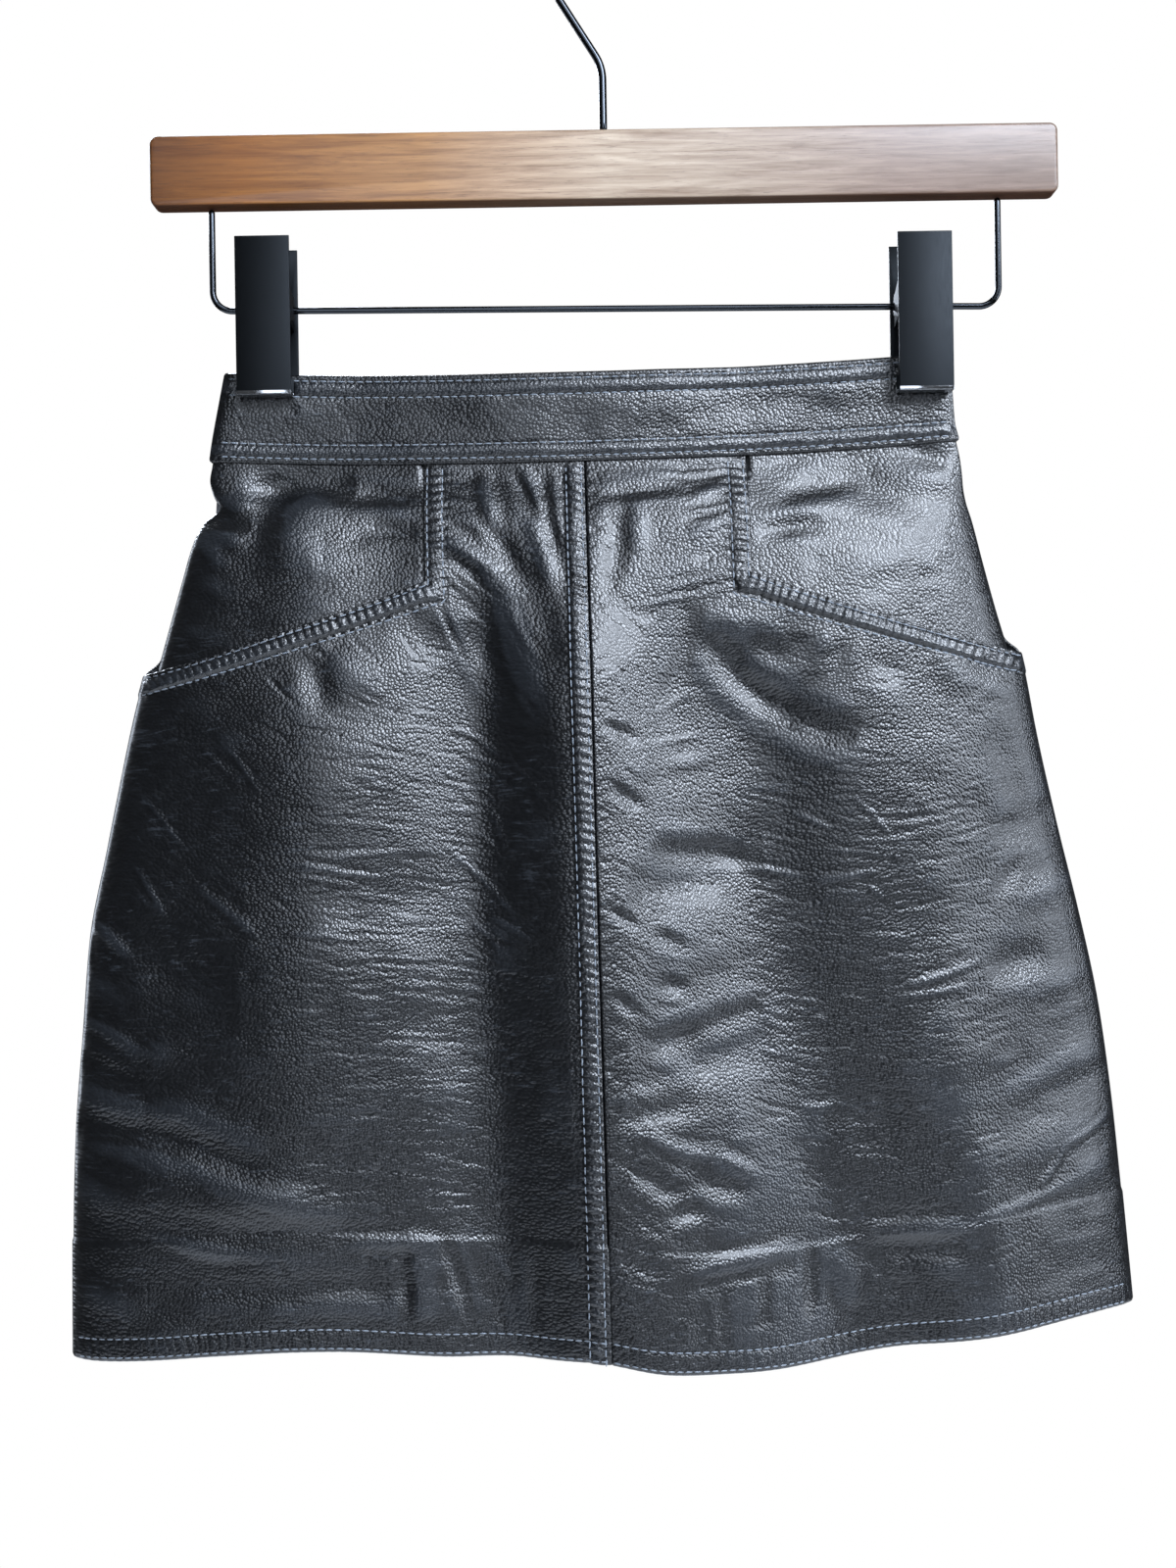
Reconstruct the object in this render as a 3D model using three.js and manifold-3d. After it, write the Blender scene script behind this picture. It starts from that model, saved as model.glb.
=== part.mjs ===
// A leather mini skirt hanging from a wooden clip hanger, in millimetres, +Z up.
// The front faces -Y, +X is to the right of someone who looks at the front, and the
// origin is the point inside the top of the hook where a rail would touch it.
import * as THREE from 'three';
import { mergeVertices } from 'three/addons/utils/BufferGeometryUtils.js';
import Module from 'manifold-3d';

const wasm = await Module();
wasm.setup();

// Hanger
const HOOK = { wire: 3.4, loopRadius: 20.5, leanDegrees: 32, bendRadius: 20, endDegrees: -25 };
const BAR = { length: 387, height: 30, thick: 12.4, corner: 3, bevel: 1.2, topZ: -86 };
const RAIL = { wire: 2.8, halfSpan: 168.3, z: -161.3, slope: -0.0087, corner: 8.4 };
const CLIP = {
  width: 23, above: 29, below: 38, plate: 1.2, faceY: 14, jawY: 3.7, jawHeight: 8,
  earThick: 1, earTop: 9, earLow: 7, springWidth: 9, springThick: 0.8,
};
const CLIP_X = { left: -145.2, right: 134.9 };
const TOUCH = 0.3;

// Skirt: where the middle of its waistband's top edge hangs, and how far it tips in the clips
const SKIRT_AT = [-10.6, 0, -189.6];
const SKIRT_TIP_DEGREES = 0.75;

// Leather
const LEATHER = 1.4;
const BAND = { height: 38.3, proud: 1.6, inside: 1.2, edgeRound: 0.7, stitchedEdge: 9 };
const SEAM_GAP = 0.4;
const END_SMILE = 5;
const BOW = { depth: 7, reach: 0.78, gone: 120 };
const HEM = { drop: 416.5, turnUp: 50, extra: 1.2, print: 0.5, step: 2 };
const FELL = { width: 8.2, step: 1, raise: 0.7 };
const YOKE = { x: 69, corner: 89, mouthEnd: 130 };
const MOUTH = { lift: 2.2, sideLift: 5, reach: 60, edge: 0.5, underlap: 18, tuck: 0.7, bandFade: 20 };
const ZIP = {
  top: 3, bottom: 182, gap: 3.6, bandGap: 5, close: 8, tapeHalf: 12, chainHalf: 2.8,
  tapeFrom: -2.7, tapeTo: -1.9, chainTo: -0.2,
};
const SLIDER = { drop: 11, half: 6, halfWidth: 4.2, from: 0.1, to: 2, archIn: 1.2, archOut: 2.2, archWide: 2.2 };
const TAB = { width: 5, thick: 1.2, length: 24, windowHalf: 1.5, windowLow: 4.2, axisOut: 3.6 };

// Sections of the skirt: drop below the waistband's top edge, the side folds' x and y,
// how far the front and the back stand out, and how square the section is.
const SECTIONS = [
  { drop: 0, left: -151.4, right: 155, leftY: 0, rightY: 0, front: 1.8, back: 1.8, power: 60 },
  { drop: 12, left: -154, right: 156.3, leftY: 0, rightY: 0, front: 1.8, back: 1.8, power: 60 },
  { drop: 30, left: -157.8, right: 157.2, leftY: 0, rightY: 0, front: 1.8, back: 1.8, power: 60 },
  { drop: 40, left: -159.5, right: 159.5, leftY: 0, rightY: 0, front: 2.2, back: 2.2, power: 50 },
  { drop: 46, left: -160.6, right: 160.6, leftY: 0, rightY: 0, front: 3.6, back: 3.6, power: 32 },
  { drop: 52, left: -159.4, right: 161.2, leftY: 0, rightY: 0, front: 6, back: 6, power: 18 },
  { drop: 58, left: -157, right: 161.6, leftY: 0, rightY: 0.3, front: 9, back: 8.3, power: 12 },
  { drop: 64, left: -163.8, right: 162.6, leftY: 0, rightY: 0.6, front: 11.5, back: 10.3, power: 9 },
  { drop: 72, left: -168.3, right: 165, leftY: 0, rightY: 1, front: 14, back: 12, power: 7 },
  { drop: 90, left: -174.2, right: 169.4, leftY: 0, rightY: 2, front: 19, back: 16, power: 5 },
  { drop: 110, left: -180.2, right: 174.5, leftY: -0.5, rightY: 3, front: 23, back: 20, power: 4 },
  { drop: 130, left: -186.2, right: 180, leftY: -1, rightY: 4, front: 26, back: 23, power: 3.4 },
  { drop: 160, left: -195.2, right: 186.5, leftY: -2, rightY: 5, front: 29, back: 27, power: 2.9 },
  { drop: 200, left: -206.7, right: 197.4, leftY: -3.5, rightY: 8, front: 32, back: 30, power: 2.6 },
  { drop: 240, left: -216.4, right: 207.8, leftY: -5, rightY: 11, front: 35, back: 32, power: 2.4 },
  { drop: 280, left: -220.5, right: 215.8, leftY: -6, rightY: 13, front: 37, back: 34, power: 2.3 },
  { drop: 320, left: -224.2, right: 220.8, leftY: -7.5, rightY: 15, front: 39, back: 35, power: 2.3 },
  { drop: 360, left: -226, right: 224.6, leftY: -9, rightY: 18, front: 41, back: 36, power: 2.3 },
  { drop: 420, left: -227.4, right: 229.4, leftY: -10, rightY: 21, front: 43, back: 37, power: 2.3 },
];

// Folds that fall down the cloth: x at the top, middle and foot, the drops at which they
// start and reach their height, half width, and height, which is negative for a trough.
const FALLS = [
  { side: 'front', top: -4, mid: 0, foot: 22, from: 50, full: 130, half: 26, height: 9 },
  { side: 'front', top: 60, mid: 74, foot: 98, from: 92, full: 160, half: 30, height: -9 },
  { side: 'front', top: 124, mid: 148, foot: 174, from: 110, full: 190, half: 32, height: 3.5 },
  { side: 'front', top: -42, mid: -52, foot: -38, from: 70, full: 150, half: 22, height: -8 },
  { side: 'front', top: -116, mid: -126, foot: -128, from: 100, full: 180, half: 38, height: 6 },
  { side: 'front', top: -112, mid: -118, foot: -112, from: 240, full: 410, half: 64, height: -10 },
  { side: 'back', top: -40, mid: -66, foot: -74, from: 90, full: 160, half: 30, height: 7 },
  { side: 'back', top: -110, mid: -128, foot: -130, from: 120, full: 190, half: 26, height: -5 },
  { side: 'back', top: 34, mid: 52, foot: 60, from: 100, full: 170, half: 28, height: 6 },
  { side: 'back', top: 96, mid: 122, foot: 118, from: 110, full: 180, half: 28, height: -5.5 },
];
const FALL_END = 440;

// Creases that run across the cloth: x and drop of both ends, half width and height.
const CROSSINGS = [
  { side: 'front', fromX: -176, fromDrop: 54, toX: -98, toDrop: 46, half: 6.5, height: -3.2 },
  { side: 'front', fromX: -172, fromDrop: 66, toX: -112, toDrop: 78, half: 9, height: 2.2 },
  { side: 'front', fromX: 92, fromDrop: 54, toX: 176, toDrop: 66, half: 9, height: -2.2 },
  { side: 'front', fromX: -222, fromDrop: 232, toX: -150, toDrop: 262, half: 14, height: -2.4 },
  { side: 'front', fromX: -146, fromDrop: 224, toX: -44, toDrop: 220, half: 16, height: -1.4 },
  { side: 'front', fromX: -236, fromDrop: 336, toX: -110, toDrop: 352, half: 16, height: 2.8 },
  { side: 'front', fromX: 12, fromDrop: 220, toX: 70, toDrop: 210, half: 12, height: -2.6 },
  { side: 'front', fromX: 12, fromDrop: 296, toX: 72, toDrop: 286, half: 12, height: -2.6 },
  { side: 'front', fromX: 130, fromDrop: 322, toX: 232, toDrop: 286, half: 13, height: -2.6 },
  { side: 'back', fromX: -176, fromDrop: 56, toX: -100, toDrop: 48, half: 7, height: -2.8 },
  { side: 'back', fromX: 96, fromDrop: 60, toX: 176, toDrop: 52, half: 8, height: -2.4 },
  { side: 'back', fromX: -230, fromDrop: 250, toX: -140, toDrop: 236, half: 14, height: -2.6 },
  { side: 'back', fromX: 130, fromDrop: 300, toX: 230, toDrop: 322, half: 14, height: -2.6 },
];

// Places where the hem rides up, or hangs lower where the rise is negative: x, half width and rise.
const HEM_RISES = [
  { x: -172, half: 46, rise: 2.6 },
  { x: -114, half: 58, rise: 8 },
  { x: -38, half: 34, rise: 2.8 },
  { x: -2, half: 18, rise: 2.2 },
  { x: 66, half: 50, rise: -4.3 },
  { x: 192, half: 44, rise: 2.6 },
  { x: 222, half: 32, rise: 2.7 },
];

// Seen colours and finishes
const LEATHER_BLACK = { color: 0x17191d, roughness: 0.34, metalness: 0 };
const WALNUT = { color: 0x7a4a2c, roughness: 0.55, metalness: 0 };
const CHROME = { color: 0xc9ccd0, roughness: 0.16, metalness: 1 };
const BLACK_NICKEL = { color: 0x26282a, roughness: 0.38, metalness: 0.6 };
const ZIP_TAPE = { color: 0x121315, roughness: 0.85, metalness: 0 };

const clamp = (v, low, high) => Math.min(high, Math.max(low, v));
const mix = (a, b, s) => a + (b - a) * s;
const smooth = (a, b, v) => {
  const s = clamp((v - a) / (b - a), 0, 1);
  return s * s * (3 - 2 * s);
};
const bell = (v, half) => Math.exp(-((v / half) ** 2));

// A table's column at a drop, as a cubic that never overshoots its rows.
function column(name, drop) {
  const rows = SECTIONS;
  const last = rows.length - 1;
  const d = clamp(drop, rows[0].drop, rows[last].drop);
  let k = 0;
  while (k < last - 1 && d > rows[k + 1].drop) k += 1;
  const slope = (i) => (rows[i + 1][name] - rows[i][name]) / (rows[i + 1].drop - rows[i].drop);
  const tangent = (i) => {
    if (i === 0) return slope(0);
    if (i === last) return slope(last - 1);
    const [a, b] = [slope(i - 1), slope(i)];
    return a * b <= 0 ? 0 : (2 * a * b) / (a + b);
  };
  const width = rows[k + 1].drop - rows[k].drop;
  const s = (d - rows[k].drop) / width;
  const [a, b] = [rows[k][name], rows[k + 1][name]];
  return (
    a * (1 + 2 * s) * (1 - s) ** 2 + tangent(k) * width * s * (1 - s) ** 2 +
    b * s * s * (3 - 2 * s) + tangent(k + 1) * width * s * s * (s - 1)
  );
}

const sideX = (sign, drop) => (sign < 0 ? column('left', drop) : column('right', drop));

// How far the folds and creases move the cloth out at a point of one side.
function relief(side, x, drop, across) {
  let out = 0;
  for (const f of FALLS) {
    if (f.side !== side) continue;
    const s = clamp((drop - f.from) / (FALL_END - f.from), 0, 1);
    const bend = 2 * f.mid - (f.top + f.foot) / 2;
    const path = f.top * (1 - s) ** 2 + 2 * s * (1 - s) * bend + f.foot * s * s;
    out += f.height * bell(x - path, f.half) * smooth(f.from, f.full, drop);
  }
  for (const c of CROSSINGS) {
    if (c.side !== side) continue;
    const s = (x - c.fromX) / (c.toX - c.fromX);
    if (s <= 0 || s >= 1) continue;
    out += c.height * bell(drop - mix(c.fromDrop, c.toDrop, s), c.half) * Math.sin(Math.PI * s) ** 0.8;
  }
  return out * (1 - across ** 10);
}

// The point of the cloth's base surface at an angle across (-90 to 90 degrees, side fold to
// side fold) and a drop.
function base(side, angle, drop) {
  const out = side === 'front' ? -1 : 1;
  const across = Math.sin(angle);
  const x = Math.abs(across) * sideX(across, drop);
  const power = column('power', drop);
  const lean = mix(column('leftY', drop), column('rightY', drop), (across + 1) / 2);
  const round = Math.sqrt(Math.max(0, 1 - Math.abs(across) ** power));
  const bowed = BOW.depth * Math.cos((Math.PI / 2) * Math.min(1, Math.abs(across) / BOW.reach)) ** 2;
  const depth = column(side, drop) * round + bowed * (1 - smooth(BAND.height, BOW.gone, drop));
  const y = lean + out * (depth + relief(side, x, drop, Math.abs(across)));
  return new THREE.Vector3(x, y, -drop + END_SMILE * across * across);
}

const TINY = 0.004;
function normal(side, angle, drop) {
  const limit = Math.PI / 2;
  const a = Math.max(angle - TINY, -limit);
  const b = Math.min(angle + TINY, limit);
  const along = base(side, b, drop).sub(base(side, a, drop));
  const down = base(side, angle, drop + 0.5).sub(base(side, angle, drop - 0.5));
  const n = side === 'front' ? down.cross(along) : along.cross(down);
  return n.normalize();
}

// The angle at which the base surface reaches a distance from the middle.
function angleAt(x, drop) {
  const across = clamp(x / Math.abs(sideX(x, drop)), -1, 1);
  return Math.asin(across);
}

// A point moved out from the base, and kept on its own side of the side seam.
function place(side, angle, drop, offset) {
  const p = base(side, angle, drop).addScaledVector(normal(side, angle, drop), offset);
  const lean = mix(column('leftY', drop), column('rightY', drop), (Math.sin(angle) + 1) / 2);
  const seam = SEAM_GAP / 2;
  p.y = side === 'front' ? Math.min(p.y, lean - seam) : Math.max(p.y, lean + seam);
  return p;
}

const hemRise = (x) => HEM_RISES.reduce((sum, r) => sum + r.rise * bell(x - r.x, r.half), 0);
const hemDrop = (x) => HEM.drop - hemRise(x);

// The slanting pocket mouth: its drop at a share of the way from the yoke seam to the fold.
const mouthDrop = (share) => mix(YOKE.corner, YOKE.mouthEnd, share);
const mouthShare = (x, drop) => {
  const edge = Math.abs(sideX(x, drop));
  return clamp((Math.abs(x) - YOKE.x) / (edge - YOKE.x), 0, 1);
};

// How far the front panel stands off round its L-shaped pocket edge.
function pocketLift(x, drop) {
  const share = mouthShare(x, drop);
  const inward = Math.max(0, YOKE.x - Math.abs(x));
  const below = Math.max(0, drop - mouthDrop(share));
  const away = Math.hypot(inward, below);
  const edge = mix(MOUTH.lift, MOUTH.sideLift, share ** 3);
  const strip = MOUTH.edge * (1 - smooth(FELL.width, FELL.width + FELL.step, away));
  const fromBand = smooth(BAND.height, BAND.height + MOUTH.bandFade, drop);
  return (edge * bell(away, MOUTH.reach) + strip) * fromBand;
}

const hemPrint = (x, drop) => smooth(0, HEM.step, drop - (hemDrop(x) - HEM.turnUp));

// A closed wall from a grid of outer and inner points. Cells that has() refuses are left out.
function wall(rows, columns, outer, inner, has = () => true) {
  const index = new Map();
  const points = [];
  const faces = [];
  const corner = (layer, i, j) => {
    const key = `${layer},${i},${j}`;
    if (!index.has(key)) {
      index.set(key, points.length / 3);
      points.push(...(layer === 0 ? outer(i, j) : inner(i, j)).toArray());
    }
    return index.get(key);
  };
  const quad = (a, b, c, d) => faces.push(a, b, c, a, c, d);
  const cell = (i, j) => i >= 0 && j >= 0 && i < rows - 1 && j < columns - 1 && has(i, j);
  for (let i = 0; i < rows - 1; i += 1) {
    for (let j = 0; j < columns - 1; j += 1) {
      if (!cell(i, j)) continue;
      const [a, b, c, d] = [[i, j], [i + 1, j], [i + 1, j + 1], [i, j + 1]];
      quad(...[a, b, c, d].map((p) => corner(0, ...p)));
      quad(...[c, b, a, d].map((p) => corner(1, ...p)));
      const sides = [[i - 1, j, d, a], [i + 1, j, b, c], [i, j - 1, a, b], [i, j + 1, c, d]];
      for (const [ni, nj, p, q] of sides) {
        if (!cell(ni, nj)) quad(corner(0, ...q), corner(0, ...p), corner(1, ...p), corner(1, ...q));
      }
    }
  }
  return shape(points, faces);
}

function shape(points, faces) {
  const geometry = new THREE.BufferGeometry();
  geometry.setAttribute('position', new THREE.Float32BufferAttribute(points, 3));
  geometry.setIndex(faces);
  const solid = solidOf(geometry);
  return geometryOf(solid.volume() < 0 ? flipped(geometry) : solid);
}

function flipped(geometry) {
  const index = [...geometry.index.array];
  for (let k = 0; k < index.length; k += 3) [index[k], index[k + 1]] = [index[k + 1], index[k]];
  geometry.setIndex(index);
  return solidOf(geometry);
}

function solidOf(geometry) {
  const bare = geometry.clone();
  bare.deleteAttribute('normal');
  bare.deleteAttribute('uv');
  const merged = mergeVertices(bare, 1e-4);
  return new wasm.Manifold(new wasm.Mesh({
    numProp: 3,
    vertProperties: new Float32Array(merged.attributes.position.array),
    triVerts: new Uint32Array(merged.index.array),
  }));
}

function geometryOf(solid) {
  const mesh = solid.getMesh();
  const geometry = new THREE.BufferGeometry();
  geometry.setAttribute('position', new THREE.BufferAttribute(new Float32Array(mesh.vertProperties), 3));
  geometry.setIndex([...mesh.triVerts]);
  geometry.computeVertexNormals();
  return geometry;
}

function piece(name, geometry, finish) {
  const mesh = new THREE.Mesh(geometry, new THREE.MeshStandardMaterial(finish));
  mesh.name = name;
  return mesh;
}

const spread = (from, to, count) => Array.from({ length: count + 1 }, (_, k) => mix(from, to, k / count));

// Shares of the way from a seam to the side fold, closer together at the fold.
const foldShares = (count) => spread(0, 1, count).map((s) => Math.sin((Math.PI / 2) * s));

// Distances from the middle for a panel's columns at one drop: fixed ones up to the yoke
// seam, and shares of the rest out to the side fold.
function frontColumns(fell) {
  const first = fell ? [FELL.width, FELL.width + FELL.step] : [FELL.width * 1.4];
  const strip = YOKE.x - FELL.width;
  const fixed = [SEAM_GAP / 2, ...first, 26, 43, strip - FELL.step, strip, YOKE.x - SEAM_GAP / 2];
  return { fixed, shares: foldShares(9).slice(1) };
}

function frontPanel(sign, fell) {
  const { fixed, shares } = frontColumns(fell);
  const count = fixed.length + shares.length;
  const upper = [BAND.height + SEAM_GAP, 46, 56, 67, 78];
  const edgeOffsets = [0, FELL.width, FELL.width + FELL.step * 1.5];
  const middle = spread(0, 1, 12).slice(1);
  const hemOffsets = [-HEM.turnUp + HEM.step, -30, -14, 0];
  const lower = edgeOffsets.length + middle.length + hemOffsets.length;
  const lineShare = (j) => (j < fixed.length ? 0 : shares[j - fixed.length]);
  const spot = (i, j) => {
    let drop;
    const k = i - upper.length;
    const line = mouthDrop(lineShare(j));
    const nominal = j < fixed.length ? fixed[j] : mix(YOKE.x, 228, shares[j - fixed.length]);
    const hem = hemDrop(sign * nominal);
    if (k < 0) drop = upper[i];
    else if (k < edgeOffsets.length) drop = line + edgeOffsets[k];
    else if (k < edgeOffsets.length + middle.length) {
      drop = mix(line + edgeOffsets.at(-1), hem - HEM.turnUp, middle[k - edgeOffsets.length]);
    } else drop = hem + hemOffsets[k - edgeOffsets.length - middle.length];
    const edge = Math.abs(sideX(sign, drop));
    const x = sign * (j < fixed.length ? fixed[j] : mix(YOKE.x - SEAM_GAP / 2, edge, shares[j - fixed.length]));
    return { x, drop, angle: angleAt(x, drop) };
  };
  const outer = (i, j) => {
    const { x, drop, angle } = spot(i, j);
    const seam = fell ? FELL.raise * (1 - smooth(FELL.width, FELL.width + FELL.step, Math.abs(x))) : 0;
    const fromBand = smooth(BAND.height, BAND.height + 6, drop);
    return place('front', angle, drop, pocketLift(x, drop) + seam * fromBand + HEM.print * hemPrint(x, drop));
  };
  const inner = (i, j) => {
    const { x, drop, angle } = spot(i, j);
    return place('front', angle, drop, pocketLift(x, drop) - LEATHER - HEM.extra * hemPrint(x, drop));
  };
  const rows = upper.length + lower;
  return wall(rows, count, outer, inner, (i, j) => i >= upper.length || j < fixed.length - 1);
}

// The hip piece shows between the waistband and the pocket mouth, and runs on behind the mouth.
function hipPiece(sign) {
  const shares = foldShares(9);
  const levels = [0, 0.08, 0.146, 0.21, 0.28, 0.37, 0.56, 0.78, 1, null];
  const spot = (i, j) => {
    const line = mouthDrop(shares[j]);
    const top = BAND.height + SEAM_GAP;
    const drop = levels[i] === null ? line + MOUTH.underlap : mix(top, line, levels[i]);
    const edge = Math.abs(sideX(sign, drop));
    const x = sign * mix(YOKE.x + SEAM_GAP / 2, edge, shares[j]);
    const under = levels[i] === null ? -MOUTH.tuck : 0;
    return { drop, angle: angleAt(x, drop), under };
  };
  const at = (offset) => (i, j) => {
    const { drop, angle, under } = spot(i, j);
    return place('front', angle, drop, offset + under);
  };
  return wall(levels.length, shares.length, at(0), at(-LEATHER));
}

// The cut edge beside the zip, and the seam below it.
function zipEdge(drop) {
  return mix(ZIP.gap, SEAM_GAP / 2, smooth(ZIP.bottom, ZIP.bottom + ZIP.close, drop));
}

function backPanel(sign) {
  const shares = foldShares(11);
  const top = BAND.height + SEAM_GAP;
  const aboveMouthEnd = [top, 46, 52, 58, 64, 72, 90, 110, YOKE.mouthEnd - 6];
  const upper = [...aboveMouthEnd, YOKE.mouthEnd + 2, 152, ZIP.bottom, ZIP.bottom + ZIP.close];
  const middle = spread(0, 1, 7).slice(1);
  const hemOffsets = [-HEM.turnUp + HEM.step, -26, 0];
  const rows = upper.length + middle.length + hemOffsets.length;
  const spot = (i, j) => {
    const hem = hemDrop(sign * 228 * shares[j]);
    const k = i - upper.length;
    let drop;
    if (k < 0) drop = upper[i];
    else if (k < middle.length) drop = mix(upper.at(-1), hem - HEM.turnUp, middle[k]);
    else drop = hem + hemOffsets[k - middle.length];
    const x = sign * mix(zipEdge(drop), Math.abs(sideX(sign, drop)), shares[j]);
    return { x, drop, angle: angleAt(x, drop) };
  };
  const sideLift = (x, drop) => {
    const below = drop - YOKE.mouthEnd;
    const share = mouthShare(x, drop);
    return MOUTH.sideLift * share ** 12 * (below > 0 ? bell(below, MOUTH.reach) : bell(below, 5));
  };
  const outer = (i, j) => {
    const { x, drop, angle } = spot(i, j);
    return place('back', angle, drop, sideLift(x, drop) + HEM.print * hemPrint(x, drop));
  };
  const inner = (i, j) => {
    const { x, drop, angle } = spot(i, j);
    return place('back', angle, drop, sideLift(x, drop) - LEATHER - HEM.extra * hemPrint(x, drop));
  };
  return wall(rows, shares.length, outer, inner);
}

// A length of waistband between two distances from the middle, as shares of the half width.
function band(side, from, to, count) {
  const half = (s) => (s < 0 ? -1 : 1) * Math.sin((Math.PI / 2) * Math.abs(s));
  const stations = spread(from, to, count).map(half);
  const drops = [0, BAND.edgeRound * 1.5, BAND.stitchedEdge, BAND.height - BAND.stitchedEdge,
    BAND.height - BAND.edgeRound * 1.5, BAND.height];
  const spot = (i, j) => {
    const drop = drops[i];
    const s = stations[j];
    const near = side === 'back' ? ZIP.bandGap : 0;
    const edge = Math.abs(sideX(s, drop));
    const x = s === 0 ? Math.sign(from + to) * near : Math.sign(s) * mix(near, edge, Math.abs(s));
    return { drop, angle: angleAt(x, drop) };
  };
  const outer = (i, j) => {
    const { drop, angle } = spot(i, j);
    const rim = i === 0 || i === drops.length - 1 ? BAND.edgeRound : 0;
    return place(side, angle, drop, BAND.proud - rim);
  };
  const inner = (i, j) => {
    const { drop, angle } = spot(i, j);
    return place(side, angle, drop, -BAND.inside);
  };
  return wall(drops.length, stations.length, outer, inner);
}

// The closed zip: a tape behind the leather with the raised chain down its middle.
function zipTape() {
  const section = [
    [-ZIP.tapeHalf, ZIP.tapeFrom], [ZIP.tapeHalf, ZIP.tapeFrom], [ZIP.tapeHalf, ZIP.tapeTo],
    [ZIP.chainHalf, ZIP.tapeTo], [ZIP.chainHalf, ZIP.chainTo], [-ZIP.chainHalf, ZIP.chainTo],
    [-ZIP.chainHalf, ZIP.tapeTo], [-ZIP.tapeHalf, ZIP.tapeTo],
  ];
  const triangles = THREE.ShapeUtils.triangulateShape(section.map(([x, y]) => new THREE.Vector2(x, y)), []);
  const drops = [ZIP.top, 20, BAND.height, 47, 57, 69, 82, 98, 114, 132, 152, ZIP.bottom];
  const points = [];
  const faces = [];
  for (const drop of drops) {
    const centre = base('back', 0, drop);
    const out = normal('back', 0, drop);
    for (const [x, offset] of section) {
      points.push(...centre.clone().addScaledVector(out, offset).add(new THREE.Vector3(x, 0, 0)).toArray());
    }
  }
  const n = section.length;
  for (let i = 0; i < drops.length - 1; i += 1) {
    for (let j = 0; j < n; j += 1) {
      const [a, b] = [i * n + j, i * n + ((j + 1) % n)];
      faces.push(a, b, b + n, a, b + n, a + n);
    }
  }
  const last = (drops.length - 1) * n;
  for (const [a, b, c] of triangles) faces.push(a, c, b, last + a, last + b, last + c);
  return shape(points, faces);
}

const boxAt = (low, high) => {
  const size = high.map((v, k) => v - low[k]);
  const geometry = new THREE.BoxGeometry(...size);
  geometry.translate(...low.map((v, k) => v + size[k] / 2));
  return solidOf(geometry);
};

// An outline in (y, z) made solid across a width in x, centred on x = 0.
function extrudedX(outline, width) {
  const geometry = new THREE.ExtrudeGeometry(
    new THREE.Shape(outline.map(([y, z]) => new THREE.Vector2(y, z))), { depth: width, bevelEnabled: false });
  geometry.translate(0, 0, -width / 2);
  geometry.applyMatrix4(new THREE.Matrix4().makeBasis(
    new THREE.Vector3(0, 1, 0), new THREE.Vector3(0, 0, 1), new THREE.Vector3(1, 0, 0)));
  return solidOf(geometry);
}

const sliderY = base('back', 0, SLIDER.drop).y;
const tabAxis = [0, sliderY + TAB.axisOut, -SLIDER.drop + 2];

function zipSlider() {
  const [low, high] = [sliderY + SLIDER.from, sliderY + SLIDER.to];
  const z = -SLIDER.drop;
  const body = new THREE.Shape([
    [-SLIDER.halfWidth, z + SLIDER.half], [-SLIDER.halfWidth, z + 1], [-SLIDER.halfWidth + 1.2, z - SLIDER.half],
    [SLIDER.halfWidth - 1.2, z - SLIDER.half], [SLIDER.halfWidth, z + 1], [SLIDER.halfWidth, z + SLIDER.half],
  ].map(([x, v]) => new THREE.Vector2(x, v)));
  const plate = new THREE.ExtrudeGeometry(body, { depth: high - low, bevelEnabled: false });
  plate.applyMatrix4(new THREE.Matrix4().makeBasis(
    new THREE.Vector3(1, 0, 0), new THREE.Vector3(0, 0, 1), new THREE.Vector3(0, -1, 0)));
  plate.translate(0, high, 0);
  const half = (radius, from, to) => spread(from, to, 8).map((a) => [
    tabAxis[1] + radius * Math.cos(a), tabAxis[2] + radius * Math.sin(a)]);
  const foot = high - 0.3;
  const arch = extrudedX([
    [foot, tabAxis[2] - SLIDER.archOut], ...half(SLIDER.archOut, -Math.PI / 2, Math.PI / 2),
    [foot, tabAxis[2] + SLIDER.archOut], [foot, tabAxis[2] + SLIDER.archIn],
    ...half(SLIDER.archIn, Math.PI / 2, -Math.PI / 2), [foot, tabAxis[2] - SLIDER.archIn],
  ], SLIDER.archWide);
  return geometryOf(solidOf(plate).add(arch));
}

function pullTab() {
  const [, y, z] = tabAxis;
  const half = TAB.thick / 2;
  const outline = new THREE.Shape([
    [-TAB.width / 2, half], [-TAB.width / 2, -6], [-TAB.width / 2 - 0.5, -TAB.length + 2], [-1.6, -TAB.length],
    [1.6, -TAB.length], [TAB.width / 2 + 0.5, -TAB.length + 2], [TAB.width / 2, -6], [TAB.width / 2, half],
  ].map(([x, v]) => new THREE.Vector2(x, v)));
  const plate = new THREE.ExtrudeGeometry(outline, { depth: TAB.thick, bevelEnabled: false });
  plate.applyMatrix4(new THREE.Matrix4().makeBasis(
    new THREE.Vector3(1, 0, 0), new THREE.Vector3(0, 0, 1), new THREE.Vector3(0, -1, 0)));
  plate.translate(0, y + half, z);
  const window = boxAt([-TAB.windowHalf, y - 2, z - TAB.windowLow], [TAB.windowHalf, y + 2, z - half]);
  return geometryOf(solidOf(plate).subtract(window));
}

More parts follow.
